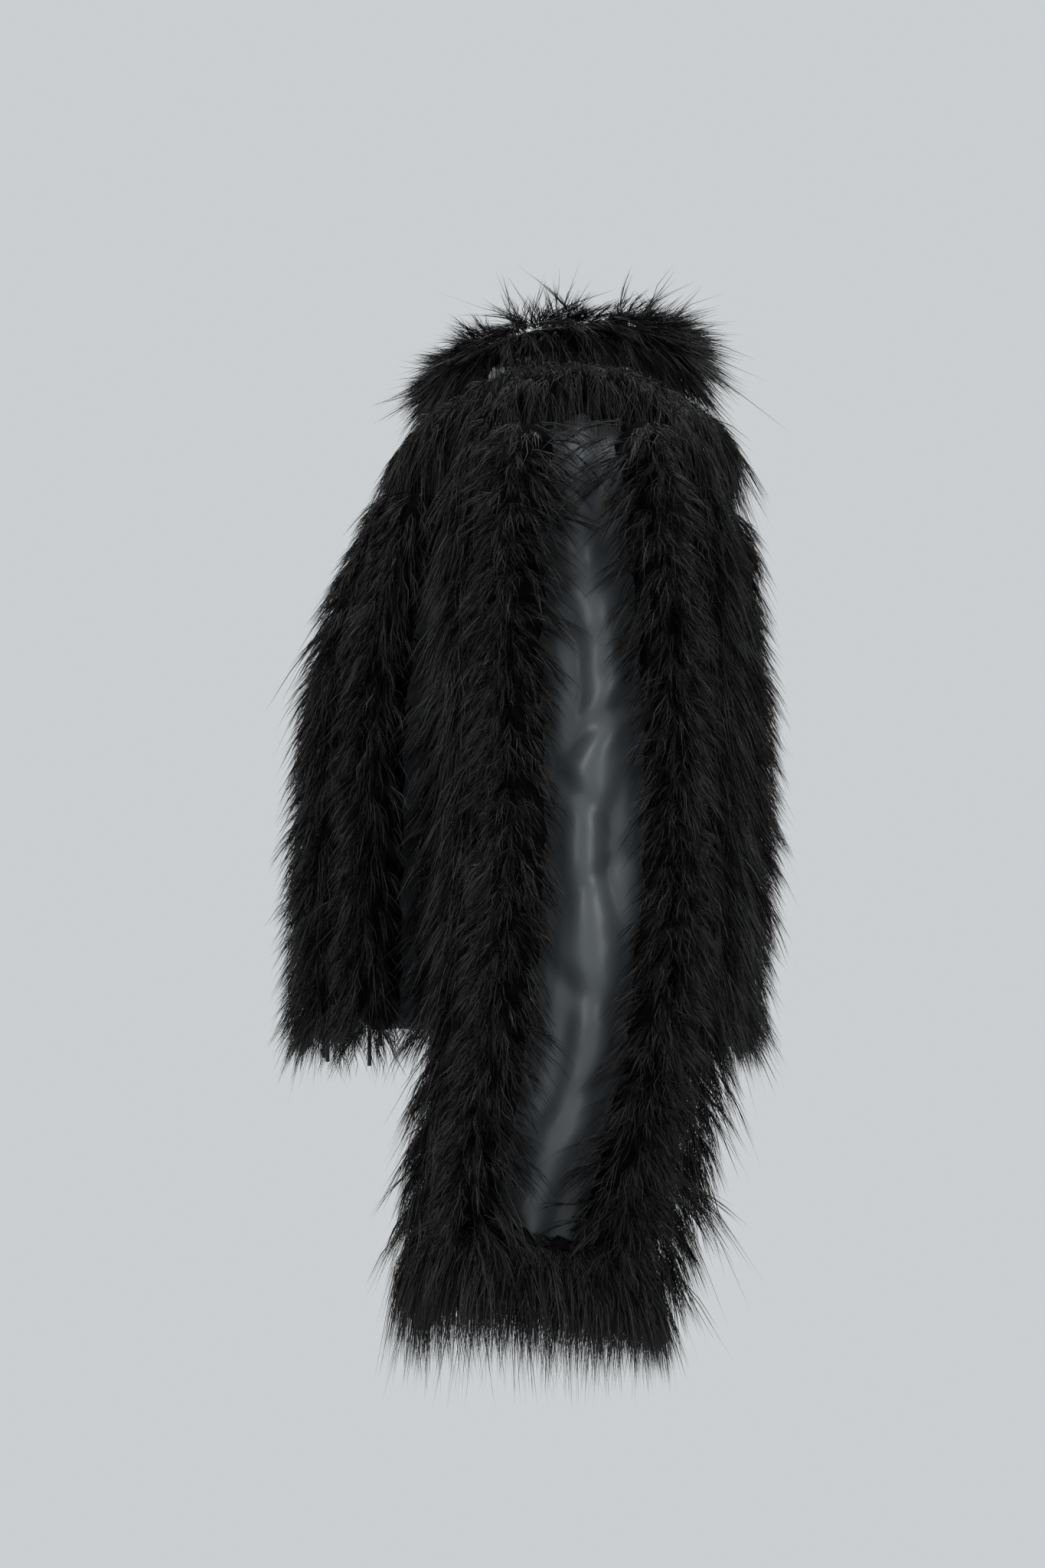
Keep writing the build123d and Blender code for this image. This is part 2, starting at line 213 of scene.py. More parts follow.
# %% [markdown]
# ## Marabou
# A barb is near-black with a faint violet cast, dull at the root and a little brighter
# towards its tip. Each barb carries a UV strip: U runs from root to tip and V is the barb's
# own shade, so that one small map colours every barb of a row. A little sheen stands for the
# barbules that are too fine to model.

# %% Feather finish
FEATHER_MAP = "OFBake"
BARB_RAMP = [(0.05, (0.0012, 0.0011, 0.0014)), (0.6, (0.0058, 0.0052, 0.0062)), (1.0, (0.036, 0.031, 0.034))]


def feather_finish():
    finish = Finish("marabou", Sheen_Weight=0.03, Sheen_Roughness=0.4, Specular_IOR_Level=0.26)
    uv = finish.add("ShaderNodeUVMap", {"uv_map": FEATHER_MAP})
    along = finish.add("ShaderNodeSeparateXYZ", None, {0: uv})
    shade = Value(finish, along.socket.node.outputs["Y"])
    streak = finish.add(
        "ShaderNodeTexNoise", {"noise_dimensions": "2D"}, {"Vector": uv, "Scale": 60.0, "Detail": 2.0}
    )
    tone = shade * 0.85 + along * 0.1 + (streak - 0.5) * 0.2
    colour = finish.add("ShaderNodeValToRGB", {"ramp": BARB_RAMP}, {"Fac": tone})
    finish.paint(Base_Color=colour, Roughness=0.5 - shade * 0.18)
    return finish.material


MARABOU = feather_finish()
print("finish", MARABOU.name)

# %% [markdown]
# ## Down and painted shade
# The short down at the heart of a row is matt and black, and its colour is darker than the
# barbs': painted shade for the depth of the row, where light that gets in hardly comes out. It
# needs no fibres: a rough surface with almost no gloss and a fine noise reads as fluff between the barbs.

# %% Down finish
# The down's near-black colour is partly the black of the feathers and partly painted shade for the depth
# inside a row.
DOWN_PAINTED_SHADE_RAMP = [(0.3, (0.0008, 0.0008, 0.001)), (0.8, (0.004, 0.0037, 0.0044))]


def down_painted_shade_finish():
    finish = Finish("marabou_down_painted_shade", Roughness=0.95, Specular_IOR_Level=0.03)
    place = finish.add("ShaderNodeTexCoord", output="Object")
    fluff = finish.add("ShaderNodeTexNoise", None, {"Vector": place, "Scale": 240.0, "Detail": 3.0})
    finish.paint(Base_Color=finish.add("ShaderNodeValToRGB", {"ramp": DOWN_PAINTED_SHADE_RAMP}, {"Fac": fluff}))
    return finish.material


DOWN_WITH_PAINTED_SHADE = down_painted_shade_finish()
print("finish", DOWN_WITH_PAINTED_SHADE.name)

# %% [markdown]
# ## Satin
# The base is a dull slate satin: a smooth face with long soft highlights, a fine weave that
# shows only close up, and slow cloudy changes where the cloth has been handled.


# %% Satin finishes
def satin_finish(name, dark, light, weave=0.0004, roughness=0.38):
    finish = Finish(name, Sheen_Weight=0.25, Sheen_Roughness=0.35)
    place = finish.add("ShaderNodeTexCoord", output="Object")
    cloud = finish.add("ShaderNodeTexNoise", None, {"Vector": place, "Scale": 9.0, "Detail": 3.0})
    thread = finish.add("ShaderNodeTexNoise", None, {"Vector": place, "Scale": 900.0, "Detail": 1.0})
    tone = cloud * 0.8 + thread * 0.2
    colour = finish.add("ShaderNodeValToRGB", {"ramp": [(0.3, dark), (0.7, light)]}, {"Fac": tone})
    bump = finish.add("ShaderNodeBump", None, {"Height": thread, "Strength": 0.25, "Distance": weave})
    finish.paint(Base_Color=colour, Roughness=cloud * 0.12 + (roughness - 0.06), Normal=bump)
    return finish.material


SATIN = satin_finish("slate_satin", (0.060, 0.069, 0.076), (0.082, 0.093, 0.101))
LINING = satin_finish("black_lining", (0.012, 0.013, 0.015), (0.022, 0.024, 0.027), roughness=0.45)
TAPE = satin_finish("satin_tape", (0.020, 0.022, 0.025), (0.032, 0.036, 0.040), roughness=0.42)
print("finishes", SATIN.name, LINING.name, TAPE.name)

# %% [markdown]
# ## The body's shape
# Every row and panel lies on one surface: rounded rectangles that narrow over the shoulders.
# These are the frame's own dimensions, in metres. `skin` gives a point at any height and any
# angle round the body, lifted off the satin by the distance asked for.

# %% Body surface
BODY = np.array([
    (-0.480, 0.156, 0.119, -0.023),
    (-0.400, 0.158, 0.125, -0.018),
    (-0.300, 0.160, 0.125, -0.014),
    (-0.220, 0.161, 0.120, -0.013),
    (-0.150, 0.162, 0.105, -0.006),
    (-0.095, 0.162, 0.089, 0.005),
    (-0.055, 0.158, 0.076, 0.009),
    (-0.030, 0.138, 0.067, 0.010),
    (-0.010, 0.104, 0.059, 0.008),
    (0.008, 0.070, 0.053, 0.006),
    (0.030, 0.058, 0.049, 0.004),
])
CORNER_SHARE = 0.85
SLOPE_STEP = 0.006


def section(height):
    """Half width, half depth, middle and corner radius of the body at a height."""
    half_x, half_y, middle = (np.interp(height, BODY[:, 0], BODY[:, i]) for i in (1, 2, 3))
    return half_x, half_y, middle, CORNER_SHARE * half_y


def skin(height, turn, lift=0.0, across=None):
    """A point lifted off the satin; turn is 0 at the front and 180 at the back."""
    way = np.array([math.sin(math.radians(turn)), -math.cos(math.radians(turn))])

    def corner(level):
        half_x, half_y, middle, radius = section(level)
        x = math.copysign(half_x - radius, way[0]) if across is None else across
        return np.array([x, middle + math.copysign(half_y - radius, way[1])]), radius

    levels = (height - SLOPE_STEP, height + SLOPE_STEP)
    reach = [corner(level)[0] @ way + corner(level)[1] for level in levels]
    lean = (reach[0] - reach[1]) / (2 * SLOPE_STEP)
    length = math.hypot(1, lean)
    place, radius = corner(height)
    flat = place + (radius + lift / length) * way
    return np.array([flat[0], flat[1], height + lift * lean / length])


def column_point(height, x, back, lift):
    """A point on the front or the back at a given x, round the corner if x is past the flat."""
    half_x, _, _, radius = section(height)
    past = x - (half_x - radius)
    if past <= 0:
        return skin(height, 180 if back else 0, lift, across=x)
    turn = math.degrees(math.asin(past / (radius + lift)))
    return skin(height, 180 - turn if back else turn, lift)


print("chest is", round(2000 * section(-0.15)[0]), "mm wide and", round(2000 * section(-0.15)[1]), "mm deep")


# %% [markdown]
# ## Rows as smooth routes
# A row is known by a few points and by which way is out of the cloth at each. Cutting the
# corners a few times turns the points into the smooth line that a boa takes, and the same
# cutting smooths the outward directions.


# %% Routes
def cut_corners(values, rounds=4):
    for _ in range(rounds):
        early, late = 0.75 * values[:-1] + 0.25 * values[1:], 0.25 * values[:-1] + 0.75 * values[1:]
        middle = np.stack([early, late], 1).reshape(-1, values.shape[1])
        values = np.vstack([values[:1], middle[1:-1], values[-1:]])
    return values


def unit(vectors):
    return vectors / np.maximum(np.linalg.norm(vectors, axis=-1, keepdims=True), 1e-9)


class Route:
    """A smooth line with an outward direction at every point."""

    def __init__(self, points, outward, smooth=True):
        both = np.hstack([np.array(points, float), np.array(outward, float)])
        both = cut_corners(both) if smooth else both
        self.points, self.outward = both[:, :3], unit(both[:, 3:])
        steps = np.linalg.norm(np.diff(self.points, axis=0), axis=1)
        self.travel = np.concatenate([[0], np.cumsum(steps)])
        self.length = self.travel[-1]
        self.along = unit(np.gradient(self.points, axis=0))

    def at(self, share):
        s = np.clip(share, 0, 1) * self.length
        pick = lambda table: np.stack([np.interp(s, self.travel, table[:, i]) for i in range(3)], -1)
        along = unit(pick(self.along))
        outward = pick(self.outward)
        outward = unit(outward - (outward * along).sum(-1, keepdims=True) * along)
        return pick(self.points), along, outward

    def mirrored(self):
        flip = np.array([-1, 1, 1])
        return Route(self.points * flip, self.outward * flip, smooth=False)


LOWER_STEP = 0.01


def lifted_route(place, stations, lift):
    """Points `lift` off the cloth; place(station, lift) gives one of them."""
    points = [place(station, lift) for station in stations]
    lower = [place(station, lift - LOWER_STEP) for station in stations]
    return Route(points, unit(np.array(points) - np.array(lower)))


# %% [markdown]
# ## One barb
# A barb is a thin ribbon that tapers to a point. It starts as a plane cut once across, which
# gives the stops along it, and each stop has a width. Every barb of the jacket is this shape,
# bent and placed, which is why it has only three triangles.

# %% Barb
bpy.ops.object.select_all(action="DESELECT")
bpy.ops.mesh.primitive_plane_add(size=1, location=(0, 0.5, 0))
barb = bpy.context.object
bpy.ops.object.transform_apply(location=True)
bpy.ops.object.mode_set(mode="EDIT")
bpy.ops.mesh.select_all(action="SELECT")
bpy.ops.mesh.subdivide(number_cuts=1)
bpy.ops.object.mode_set(mode="OBJECT")
template = np.array([v.co[:2] for v in barb.data.vertices])
BARB_STOPS = np.unique(np.round(template[:, 1], 4))
BARB_WIDTHS = np.array([1.0, 0.78, 0.0])
BARB_TRIANGLES = 3
bpy.data.objects.remove(barb)
print("a barb has", len(BARB_STOPS), "stops along its length")

# %% [markdown]
# ## The look of a row
# Rows differ in how far their feathers droop, spread and lean, and a row names only what
# differs from the usual look. `floor` is a height that the tips don't pass, `short` is a
# length left bare at the row's end, `ends` thins the row towards its ends, `toward` gives the
# reach of the plumes on one side from the first end to the last, and `mat` and `sag` shape
# the down.

# %% Usual look
DOWN = np.array([0, 0, -1.0])
USUAL_LOOK = {
    "droop": 0.034, "bend": 1.9, "raised": 0.7, "lean": 0.0, "spread": 0.0048, "loose": 1.0,
    "ends": (1.0, 0.1), "toward": ((1.0, 1.0), 1), "floor": None, "short": 0.0,
    "mat": 0.60, "sag": 0.0,
}


def hang_down(root, along, outward, way):
    """Barbs fall, and spread a little the way their plume points."""
    return DOWN + 0.10 * way


# %% [markdown]
# ## Plumes on a cord
# Each plume starts at the cord, leaves it in its own direction, and falls under its weight.
# Blender's hair is the usual way, but it isn't a mesh and the export needs one, so plumes and
# barbs are worked out as points here. Neighbouring plumes share a little of their direction,
# which gathers them into the pointed tufts of real marabou.

# %% Plumes
BARBS_PER_PLUME = 14
PLUME_REACH = 0.98
TUFT_LENGTH = 0.018
GOLDEN_TURN = 2.39996


def plumes_of(route, rng, half, per_metre, fall, look):
    """Root, direction, reach, fall, droop and sideways direction of every plume of a row."""
    plumes = max(int(route.length * per_metre / BARBS_PER_PLUME), 8)
    bare = look["short"] / route.length
    share = (np.arange(plumes) + rng.uniform(0, 1, plumes)) / plumes * (1 - bare)
    root, along, outward = route.at(share)
    upward = np.array([0, 0, 1.0]) - along * along[:, 2:]
    outward = unit(outward + look["raised"] * upward)
    beside = np.cross(along, outward)
    turn = (np.arange(plumes) * GOLDEN_TURN + rng.uniform(-0.3, 0.3, plumes)) % math.tau - math.pi
    turn = np.sign(turn) * (np.abs(turn) / math.pi) ** 1.25 * math.pi * 0.80 + look["lean"]
    way = np.cos(turn)[:, None] * outward + np.sin(turn)[:, None] * beside
    tuft = (share * route.length / TUFT_LENGTH).astype(int) * 11 + ((turn + math.pi) / 0.6).astype(int)
    tuft_lean = rng.normal(0, 1, (tuft.max() + 1, 3))[tuft]
    way = unit(way + 0.13 * tuft_lean + rng.normal(0, 0.14, (plumes, 3)))
    size = plume_size(share, turn, half, route.length, look)
    reach = size * PLUME_REACH * rng.uniform(0.82, 1.12, plumes)
    scatter = 0.11 * tuft_lean + rng.normal(0, 0.09, (plumes, 3))
    falling = unit(fall(root, along, outward, way) + look["loose"] * scatter)
    droop = look["droop"] * rng.uniform(0.75, 1.2, plumes) * (size / size.max()) ** 0.5
    if look["floor"] is not None:
        room = (root + way * reach[:, None])[:, 2] - look["floor"] + rng.normal(0, 0.004, plumes)
        droop = np.minimum(droop, np.maximum(room, 0.004))
    return root, way, reach, falling, droop, unit(np.cross(way, falling))


def plume_size(share, turn, half, length, look):
    """How far the plumes reach before chance is added: half is sideways and outward."""
    size = 1 / np.hypot(np.cos(turn) / half[1], np.sin(turn) / half[0])
    thin, run_in = look["ends"]
    near_end = np.clip(np.minimum(share, 1 - share) / run_in, 0, 1)
    size = size * (thin + (1 - thin) * near_end * near_end * (3 - 2 * near_end))
    edge, side = look["toward"]
    side_reach = np.interp(share, np.linspace(0, 1, len(edge)), edge)
    facing = np.clip(side * np.sin(turn), 0, 1) ** 2
    wave = 1 + 0.22 * np.sin(share * length * 46 + 1.3) + 0.16 * np.sin(share * length * 113)
    return size * (1 + (side_reach - 1) * facing * wave)


# %% [markdown]
# ## Barbs of the plumes
# The barbs of a plume follow its quill and spread to both sides of it. Each starts part of the
# way out, opens as it goes and curls a little. A barb that would pass the room round the CAD
# part is left out, so the feathers keep to the jacket's size.

# %% Barb lines
CAD_LOW, CAD_HIGH = np.array(CAD_BOX[0]), np.array(CAD_BOX[1])
SPARE = 0.025 * (CAD_HIGH - CAD_LOW) + 0.007
ROOM = (CAD_LOW - SPARE, CAD_HIGH + SPARE)
BARB_WIDTH = 0.00060


def barbs_of(plumes, rng, look):
    """Centre lines, widths and shades of all the barbs of a row."""
    root, way, reach, falling, droop, aside = plumes
    owner = np.repeat(np.arange(len(root)), BARBS_PER_PLUME)
    n = len(owner)
    start = rng.uniform(0.22, 0.72, n)
    run = rng.uniform(0.34, 0.52, n) + 0.24 * (rng.uniform(0, 1, n) < 0.04)
    lean = rng.normal(0, 1, n) * look["spread"]
    thick = rng.normal(0, 0.5, n) * look["spread"]
    curl = rng.normal(0, 0.0016, n)
    over = unit(np.cross(aside, way + falling))[owner]
    lines = []
    for stop in BARB_STOPS:
        u = (start + run * stop)[:, None]
        opening = (stop ** 0.8) * (1 - 0.30 * stop)
        centre = root[owner] + way[owner] * (reach[owner, None] * (1.25 * u - 0.25 * u * u))
        centre = centre + falling[owner] * (droop[owner, None] * u ** look["bend"])
        sideways = lean * opening + curl * math.sin(math.pi * stop)
        lines.append(centre + aside[owner] * sideways[:, None] + over * (thick * opening)[:, None])
    lines = np.stack(lines, 1)
    inside = ((lines > ROOM[0]) & (lines < ROOM[1])).all((1, 2))
    shade = rng.beta(1.5, 3.0, len(root))[owner] * 0.55 + rng.beta(1.0, 4.5, n) * 0.75
    width = BARB_WIDTH * rng.uniform(0.7, 1.25, n)
    return lines[inside], width[inside], np.clip(shade, 0.02, 0.97)[inside]


# %% [markdown]
# ## Barbs as ribbons
# A centre line becomes a ribbon by stepping half its width to each side. Each ribbon is turned
# about its line by chance, so some catch the light and some are seen edge on. Its UV strip is
# filled in here too, for the feather finish to read.

# %% Barbs to ribbons
def ribbons(lines, width, shade, rng):
    """Vertices, loops, loop counts and UVs of one tapered ribbon for each centre line."""
    n, stops = lines.shape[:2]
    run = lines[:, -1] - lines[:, 0]
    flat = unit(np.cross(run, rng.normal(0, 1, (n, 3))))
    half = 0.5 * width[:, None, None] * BARB_WIDTHS[None, :, None] * flat[:, None, :]
    left, right = lines - half, lines + half
    body = np.stack([left[:, :-1], right[:, :-1]], 2).reshape(n, -1, 3)
    verts = np.concatenate([body, lines[:, -1:]], 1)
    count = verts.shape[1]
    face = []
    for i in range(stops - 2):
        face += [2 * i, 2 * i + 1, 2 * i + 3, 2 * i + 2]
    face += [2 * stops - 4, 2 * stops - 3, count - 1]
    loops = (np.arange(n)[:, None] * count + np.array(face)[None, :]).ravel()
    totals = np.tile([4] * (stops - 2) + [3], n)
    u = np.concatenate([np.repeat(BARB_STOPS[:-1], 2), [1.0]])[face]
    edge = np.concatenate([np.tile([0, 1], stops - 1), [0.5]])[face]
    uv = np.stack([np.tile(u, n), np.repeat(shade, len(face)) + np.tile(edge, n) * 0.02], -1)
    return verts.reshape(-1, 3), loops, totals, uv


# %% [markdown]
# ## The down under the barbs
# Between the long barbs and the cord lies a mat of short down. It is one dark lumpy tube,
# closed at both ends and seated a little nearer the cloth than the cord, so that hardly any
# light or satin shows through a row. Its near-black colour is partly the black of the feathers
# and partly painted shade for the depth of the row.

# %% Down tube
DOWN_SIDES = 14
DOWN_RING_STEP = 0.011
SEATED = 0.28


def down_tube(route, rng, half, look):
    """A closed lumpy tube; returns vertices, loops, loop counts and UVs."""
    rings = max(int(route.length / DOWN_RING_STEP), 4)
    share = np.linspace(0, 1 - look["short"] / route.length, rings)
    centre, along, outward = route.at(share)
    beside = np.cross(along, outward)
    angle = np.arange(DOWN_SIDES) * math.tau / DOWN_SIDES
    centre = centre + look["sag"] * DOWN - outward * half[1] * SEATED
    size = look["mat"] * rng.uniform(0.85, 1.15, (rings, DOWN_SIDES))
    thin, run_in = look["ends"]
    size *= (thin + (1 - thin) * np.clip(np.minimum(share, 1 - share) / run_in, 0, 1))[:, None]
    size[[0, -1]] *= 0.35
    out = np.cos(angle)[None, :, None] * outward[:, None] * half[1]
    side = np.sin(angle)[None, :, None] * beside[:, None] * half[0]
    verts = (centre[:, None] + (out + side) * size[..., None]).reshape(-1, 3)
    first = np.arange(rings - 1)[:, None] * DOWN_SIDES
    here = np.arange(DOWN_SIDES)[None, :]
    after = (here + 1) % DOWN_SIDES
    low, high = first + here, first + after
    quads = np.stack([low, high, high + DOWN_SIDES, low + DOWN_SIDES], -1)
    caps = np.concatenate([here[0, ::-1], (rings - 1) * DOWN_SIDES + here[0]])
    loops = np.concatenate([quads.reshape(-1), caps])
    totals = np.array([4] * (len(quads.reshape(-1)) // 4) + [DOWN_SIDES] * 2)
    corners = [[0.02, 0.01], [0.06, 0.01], [0.06, 0.03], [0.02, 0.03]]
    uv = np.tile(corners, (len(loops) // 4 + 1, 1))[: len(loops)]
    return verts, loops, totals, uv


# %% [markdown]
# ## A row of feathers as one piece
# A row has tens of thousands of small faces, and operators would add them one by one. Filling
# the mesh's arrays at once takes a moment. The barbs and the down are one object, so that a
# row moves as one thing.

# %% Mesh from parts
def mesh_from(name, parts, materials):
    """One object from (vertices, loops, counts, UVs) parts, each with its own material."""
    shift, loops = 0, []
    for verts, part_loops, _, _ in parts:
        loops.append(part_loops + shift)
        shift += len(verts)
    verts = np.concatenate([p[0] for p in parts])
    loops = np.concatenate(loops)
    totals = np.concatenate([p[2] for p in parts])
    uv = np.concatenate([p[3] for p in parts])
    mesh = bpy.data.meshes.new(name)
    mesh.vertices.add(len(verts))
    mesh.vertices.foreach_set("co", verts.astype(np.float32).ravel())
    mesh.loops.add(len(loops))
    mesh.loops.foreach_set("vertex_index", loops.astype(np.int32))
    mesh.polygons.add(len(totals))
    mesh.polygons.foreach_set("loop_start", np.concatenate([[0], np.cumsum(totals)[:-1]]).astype(np.int32))
    layer = mesh.uv_layers.new(name=FEATHER_MAP)
    layer.uv.foreach_set("vector", uv.astype(np.float32).ravel())
    for material in materials:
        mesh.materials.append(material)
    slots = np.concatenate([np.full(len(part[2]), i) for i, part in enumerate(parts)])
    mesh.polygons.foreach_set("material_index", slots.astype(np.int32))
    mesh.polygons.foreach_set("use_smooth", slots.astype(bool))
    mesh.update(calc_edges=True)
    piece = bpy.data.objects.new(name, mesh)
    bpy.context.collection.objects.link(piece)
    return piece


# %% Feather row
barbs_made = []


def feather_row(node, body, route, half, per_metre, fall=hang_down, seed=0, **differences):
    """Cover one CAD row with down and barbs, and let it stand for that node."""
    look = {**USUAL_LOOK, **differences}
    rng = np.random.default_rng(seed)
    lines, width, shade = barbs_of(plumes_of(route, rng, half, per_metre, fall, look), rng, look)
    parts = [ribbons(lines, width, shade, rng), down_tube(route, rng, half, look)]
    piece = mesh_from(node.replace("_row", "_feathers"), parts, [MARABOU, DOWN_WITH_PAINTED_SHADE])
    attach(piece, body)
    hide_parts(node)
    barbs_made.append(len(lines))


# %% [markdown]
# ## Satin cloth
# A panel of a jacket is a flat sheet that the body pushes into shape. Each one starts as a
# grid, its points are laid on the body's surface with small folds added, and Solidify gives
# it the thickness of satin. Cloth simulation is the other way, and suits cloth that hangs
# free. Here the rows sewn on the panels hold them stretched, so the folds are sculpted.

# %% A sheet of cloth from a grid
def cloth_grid(name, places, closed=False):
    """A grid object whose vertices are places[row][column]."""
    rows, columns = places.shape[:2]
    bpy.ops.object.select_all(action="DESELECT")
    bpy.ops.mesh.primitive_grid_add(x_subdivisions=columns - 1, y_subdivisions=rows - 1, size=1)
    piece = bpy.context.object
    piece.name = piece.data.name = name
    flat = np.array([v.co for v in piece.data.vertices])
    column = np.rint((flat[:, 0] + 0.5) * (columns - 1)).astype(int)
    row = np.rint((flat[:, 1] + 0.5) * (rows - 1)).astype(int)
    piece.data.vertices.foreach_set("co", places[row, column].astype(np.float32).ravel())
    piece.data.uv_layers.remove(piece.data.uv_layers[0])
    if closed:
        bpy.ops.object.mode_set(mode="EDIT")
        bpy.ops.mesh.select_all(action="SELECT")
        bpy.ops.mesh.remove_doubles(threshold=1e-5)
        bpy.ops.object.mode_set(mode="OBJECT")
    return piece


def cloth_size(places):
    """Longest width and length of a laid-out grid, and its area."""
    across = np.linalg.norm(np.diff(places, axis=1), axis=2)
    down = np.linalg.norm(np.diff(places, axis=0), axis=2)
    side_a, side_b = places[1:, 1:] - places[:-1, :-1], places[1:, :-1] - places[:-1, 1:]
    area = 0.5 * np.linalg.norm(np.cross(side_a, side_b), axis=2).sum()
    return float(across.sum(1).max()), float(down.sum(0).max()), float(area)


# %% [markdown]
# ## Finishing a sheet
# Every sheet gets the same care: Solidify gives it thickness to both sides, its normals are
# recalculated, it is told which body it rides on, and its size when flat is printed. A gusset,
# which two bodies share, is fixed where it lies and rides on neither.

# %% Finish a sheet
SATIN_THICKNESS = 0.0008


def finish_cloth(piece, material, body, node, flat, area, blend=None):
    """Thickness, finish and body of one sheet."""
    bpy.ops.object.select_all(action="DESELECT")
    bpy.context.view_layer.objects.active = piece
    piece.select_set(True)
    piece.modifiers.new("thickness", "SOLIDIFY")
    piece.modifiers["thickness"].thickness = SATIN_THICKNESS
    piece.modifiers["thickness"].offset = 0
    bpy.ops.object.modifier_apply(modifier="thickness")
    bpy.ops.object.mode_set(mode="EDIT")
    bpy.ops.mesh.select_all(action="SELECT")
    bpy.ops.mesh.normals_make_consistent(inside=False)
    bpy.ops.object.mode_set(mode="OBJECT")
    bpy.ops.object.shade_smooth()
    piece.data.materials.clear()
    piece.data.materials.append(material)
    if blend:
        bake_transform(piece)
    else:
        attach(piece, body)
    if node:
        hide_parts(node)
    print(piece.name, "flat", [round(v, 3) for v in flat], "area", round(area, 3))


# %% [markdown]
# ## The body's outline
# A panel is laid along level outlines of the body. An outline is the left half of a rounded
# rectangle: flat across the front, round the two corners, and flat across the back. It is
# worked out for many points at once, as `skin` does for one.

# %% The body's outline at a height
FLAT_STEPS, ARC_STEPS = 14, 26
PLAN_TURN = np.radians(np.concatenate([
    np.zeros(FLAT_STEPS), np.linspace(0, 90, ARC_STEPS),
    np.linspace(90, 180, ARC_STEPS), np.full(FLAT_STEPS, 180),
]))
PLAN_SHARE = np.concatenate([
    np.linspace(0, 1, FLAT_STEPS, endpoint=False), np.ones(2 * ARC_STEPS),
    np.linspace(1, 0, FLAT_STEPS + 1)[1:],
])
PLAN_END = np.where(np.arange(len(PLAN_TURN)) < len(PLAN_TURN) // 2, -1, 1)


def outline(height, lift):
    """The left half of the body's section, from the front middle round to the back middle."""
    way = np.stack([np.sin(PLAN_TURN), -np.cos(PLAN_TURN)], -1)

    def plan(level):
        half_x, half_y, middle, radius = section(level)
        corners = np.stack([PLAN_SHARE * (half_x - radius), middle + PLAN_END * (half_y - radius)], -1)
        return corners + radius * way

    lean = ((plan(height - SLOPE_STEP) - plan(height + SLOPE_STEP)) * way).sum(-1) / (2 * SLOPE_STEP)
    length = np.hypot(1, lean)
    flat = plan(height) + way * (lift / length)[:, None]
    return np.column_stack([flat, height + lift * lean / length])


def stretch(line, start, end, count):
    """Even points of a line between two distances along it."""
    travel = np.concatenate([[0], np.cumsum(np.linalg.norm(np.diff(line, axis=0), axis=1))])
    return np.stack([np.interp(np.linspace(start, end, count), travel, line[:, i]) for i in range(3)], -1)


def distance_at(line, axis, value, part=slice(None)):
    """How far along a line one of its coordinates reaches a value."""
    travel = np.concatenate([[0], np.cumsum(np.linalg.norm(np.diff(line, axis=0), axis=1))])
    return float(np.interp(value, line[part, axis], travel[part]))


# %% [markdown]
# ## Panels and their folds
# Seams cut the outline into front, side and back, and the yoke and neckband run right round.
# The folds are shallow sines of different lengths that bend one another, because a single
# sine looks like corrugated card.

# %% Panel grids
HEM, YOKE_SEAM, NECK_SEAM, NECK_TOP = -0.480, -0.095, 0.008, 0.030
FRONT_EDGE, HINGE_X, SIDE_SEAM_Y = 0.008, 0.119, 0.020
FRONT_HALF = slice(0, FLAT_STEPS + ARC_STEPS)


def panel_limits(line, region):
    edge = distance_at(line, 0, FRONT_EDGE, FRONT_HALF)
    hinge = distance_at(line, 0, HINGE_X, FRONT_HALF)
    side = distance_at(line, 1, SIDE_SEAM_Y)
    back = np.linalg.norm(np.diff(line, axis=0), axis=1).sum()
    return {"front": (edge, hinge), "side": (hinge, side), "back": (side, back), "ring": (edge, back)}[region]


def cloth_folds(places, depth, seed):
    """Soft upright folds and finer puckers, as an offset along the body's outward way."""
    rng = np.random.default_rng(seed)
    phase = rng.uniform(0, math.tau, 4)
    turn, z = np.arctan2(places[..., 0], -places[..., 1]), places[..., 2]
    folds = np.sin(turn * 17 + 2.0 * np.sin(z * 14 + phase[0]) + phase[1])
    folds = folds + 0.5 * np.sin(turn * 39 + z * 30 + phase[2])
    folds = folds + 0.35 * np.sin(z * 95 + 4 * np.sin(turn * 6 + phase[3]))
    return depth * folds / 1.85


def panel(region, heights, lift, depth, columns, seed):
    """Grid of one panel of the left half; the back and the rings go on to the right."""
    grid = []
    for height in heights:
        line = outline(height, lift)
        start, end = panel_limits(line, region)
        grid.append(stretch(line, start, end, columns))
    grid = np.array(grid)
    if region in ("back", "ring"):
        grid = np.concatenate([grid, grid[:, -2::-1] * np.array([-1, 1, 1])], axis=1)
    across = np.gradient(grid, axis=1)
    down = np.gradient(grid, axis=0)
    out = unit(np.cross(across, down))
    out = out * np.sign((out[..., :2] * grid[..., :2]).sum(-1, keepdims=True) + 1e-9)
    return grid + out * cloth_folds(grid, depth, seed)[..., None]


# %% [markdown]
# ## Armholes
# The armhole is an oval that crosses the side panel and the yoke. Faces whose middle is in the
# oval are deleted in edit mode, and the points left inside it are moved out to its edge.

# %% Armholes
ARMHOLE_MIDDLE, ARMHOLE_HALF = np.array([0.021, -0.117]), np.array([0.046, 0.075])
ARMHOLES_FROM_X = 0.10


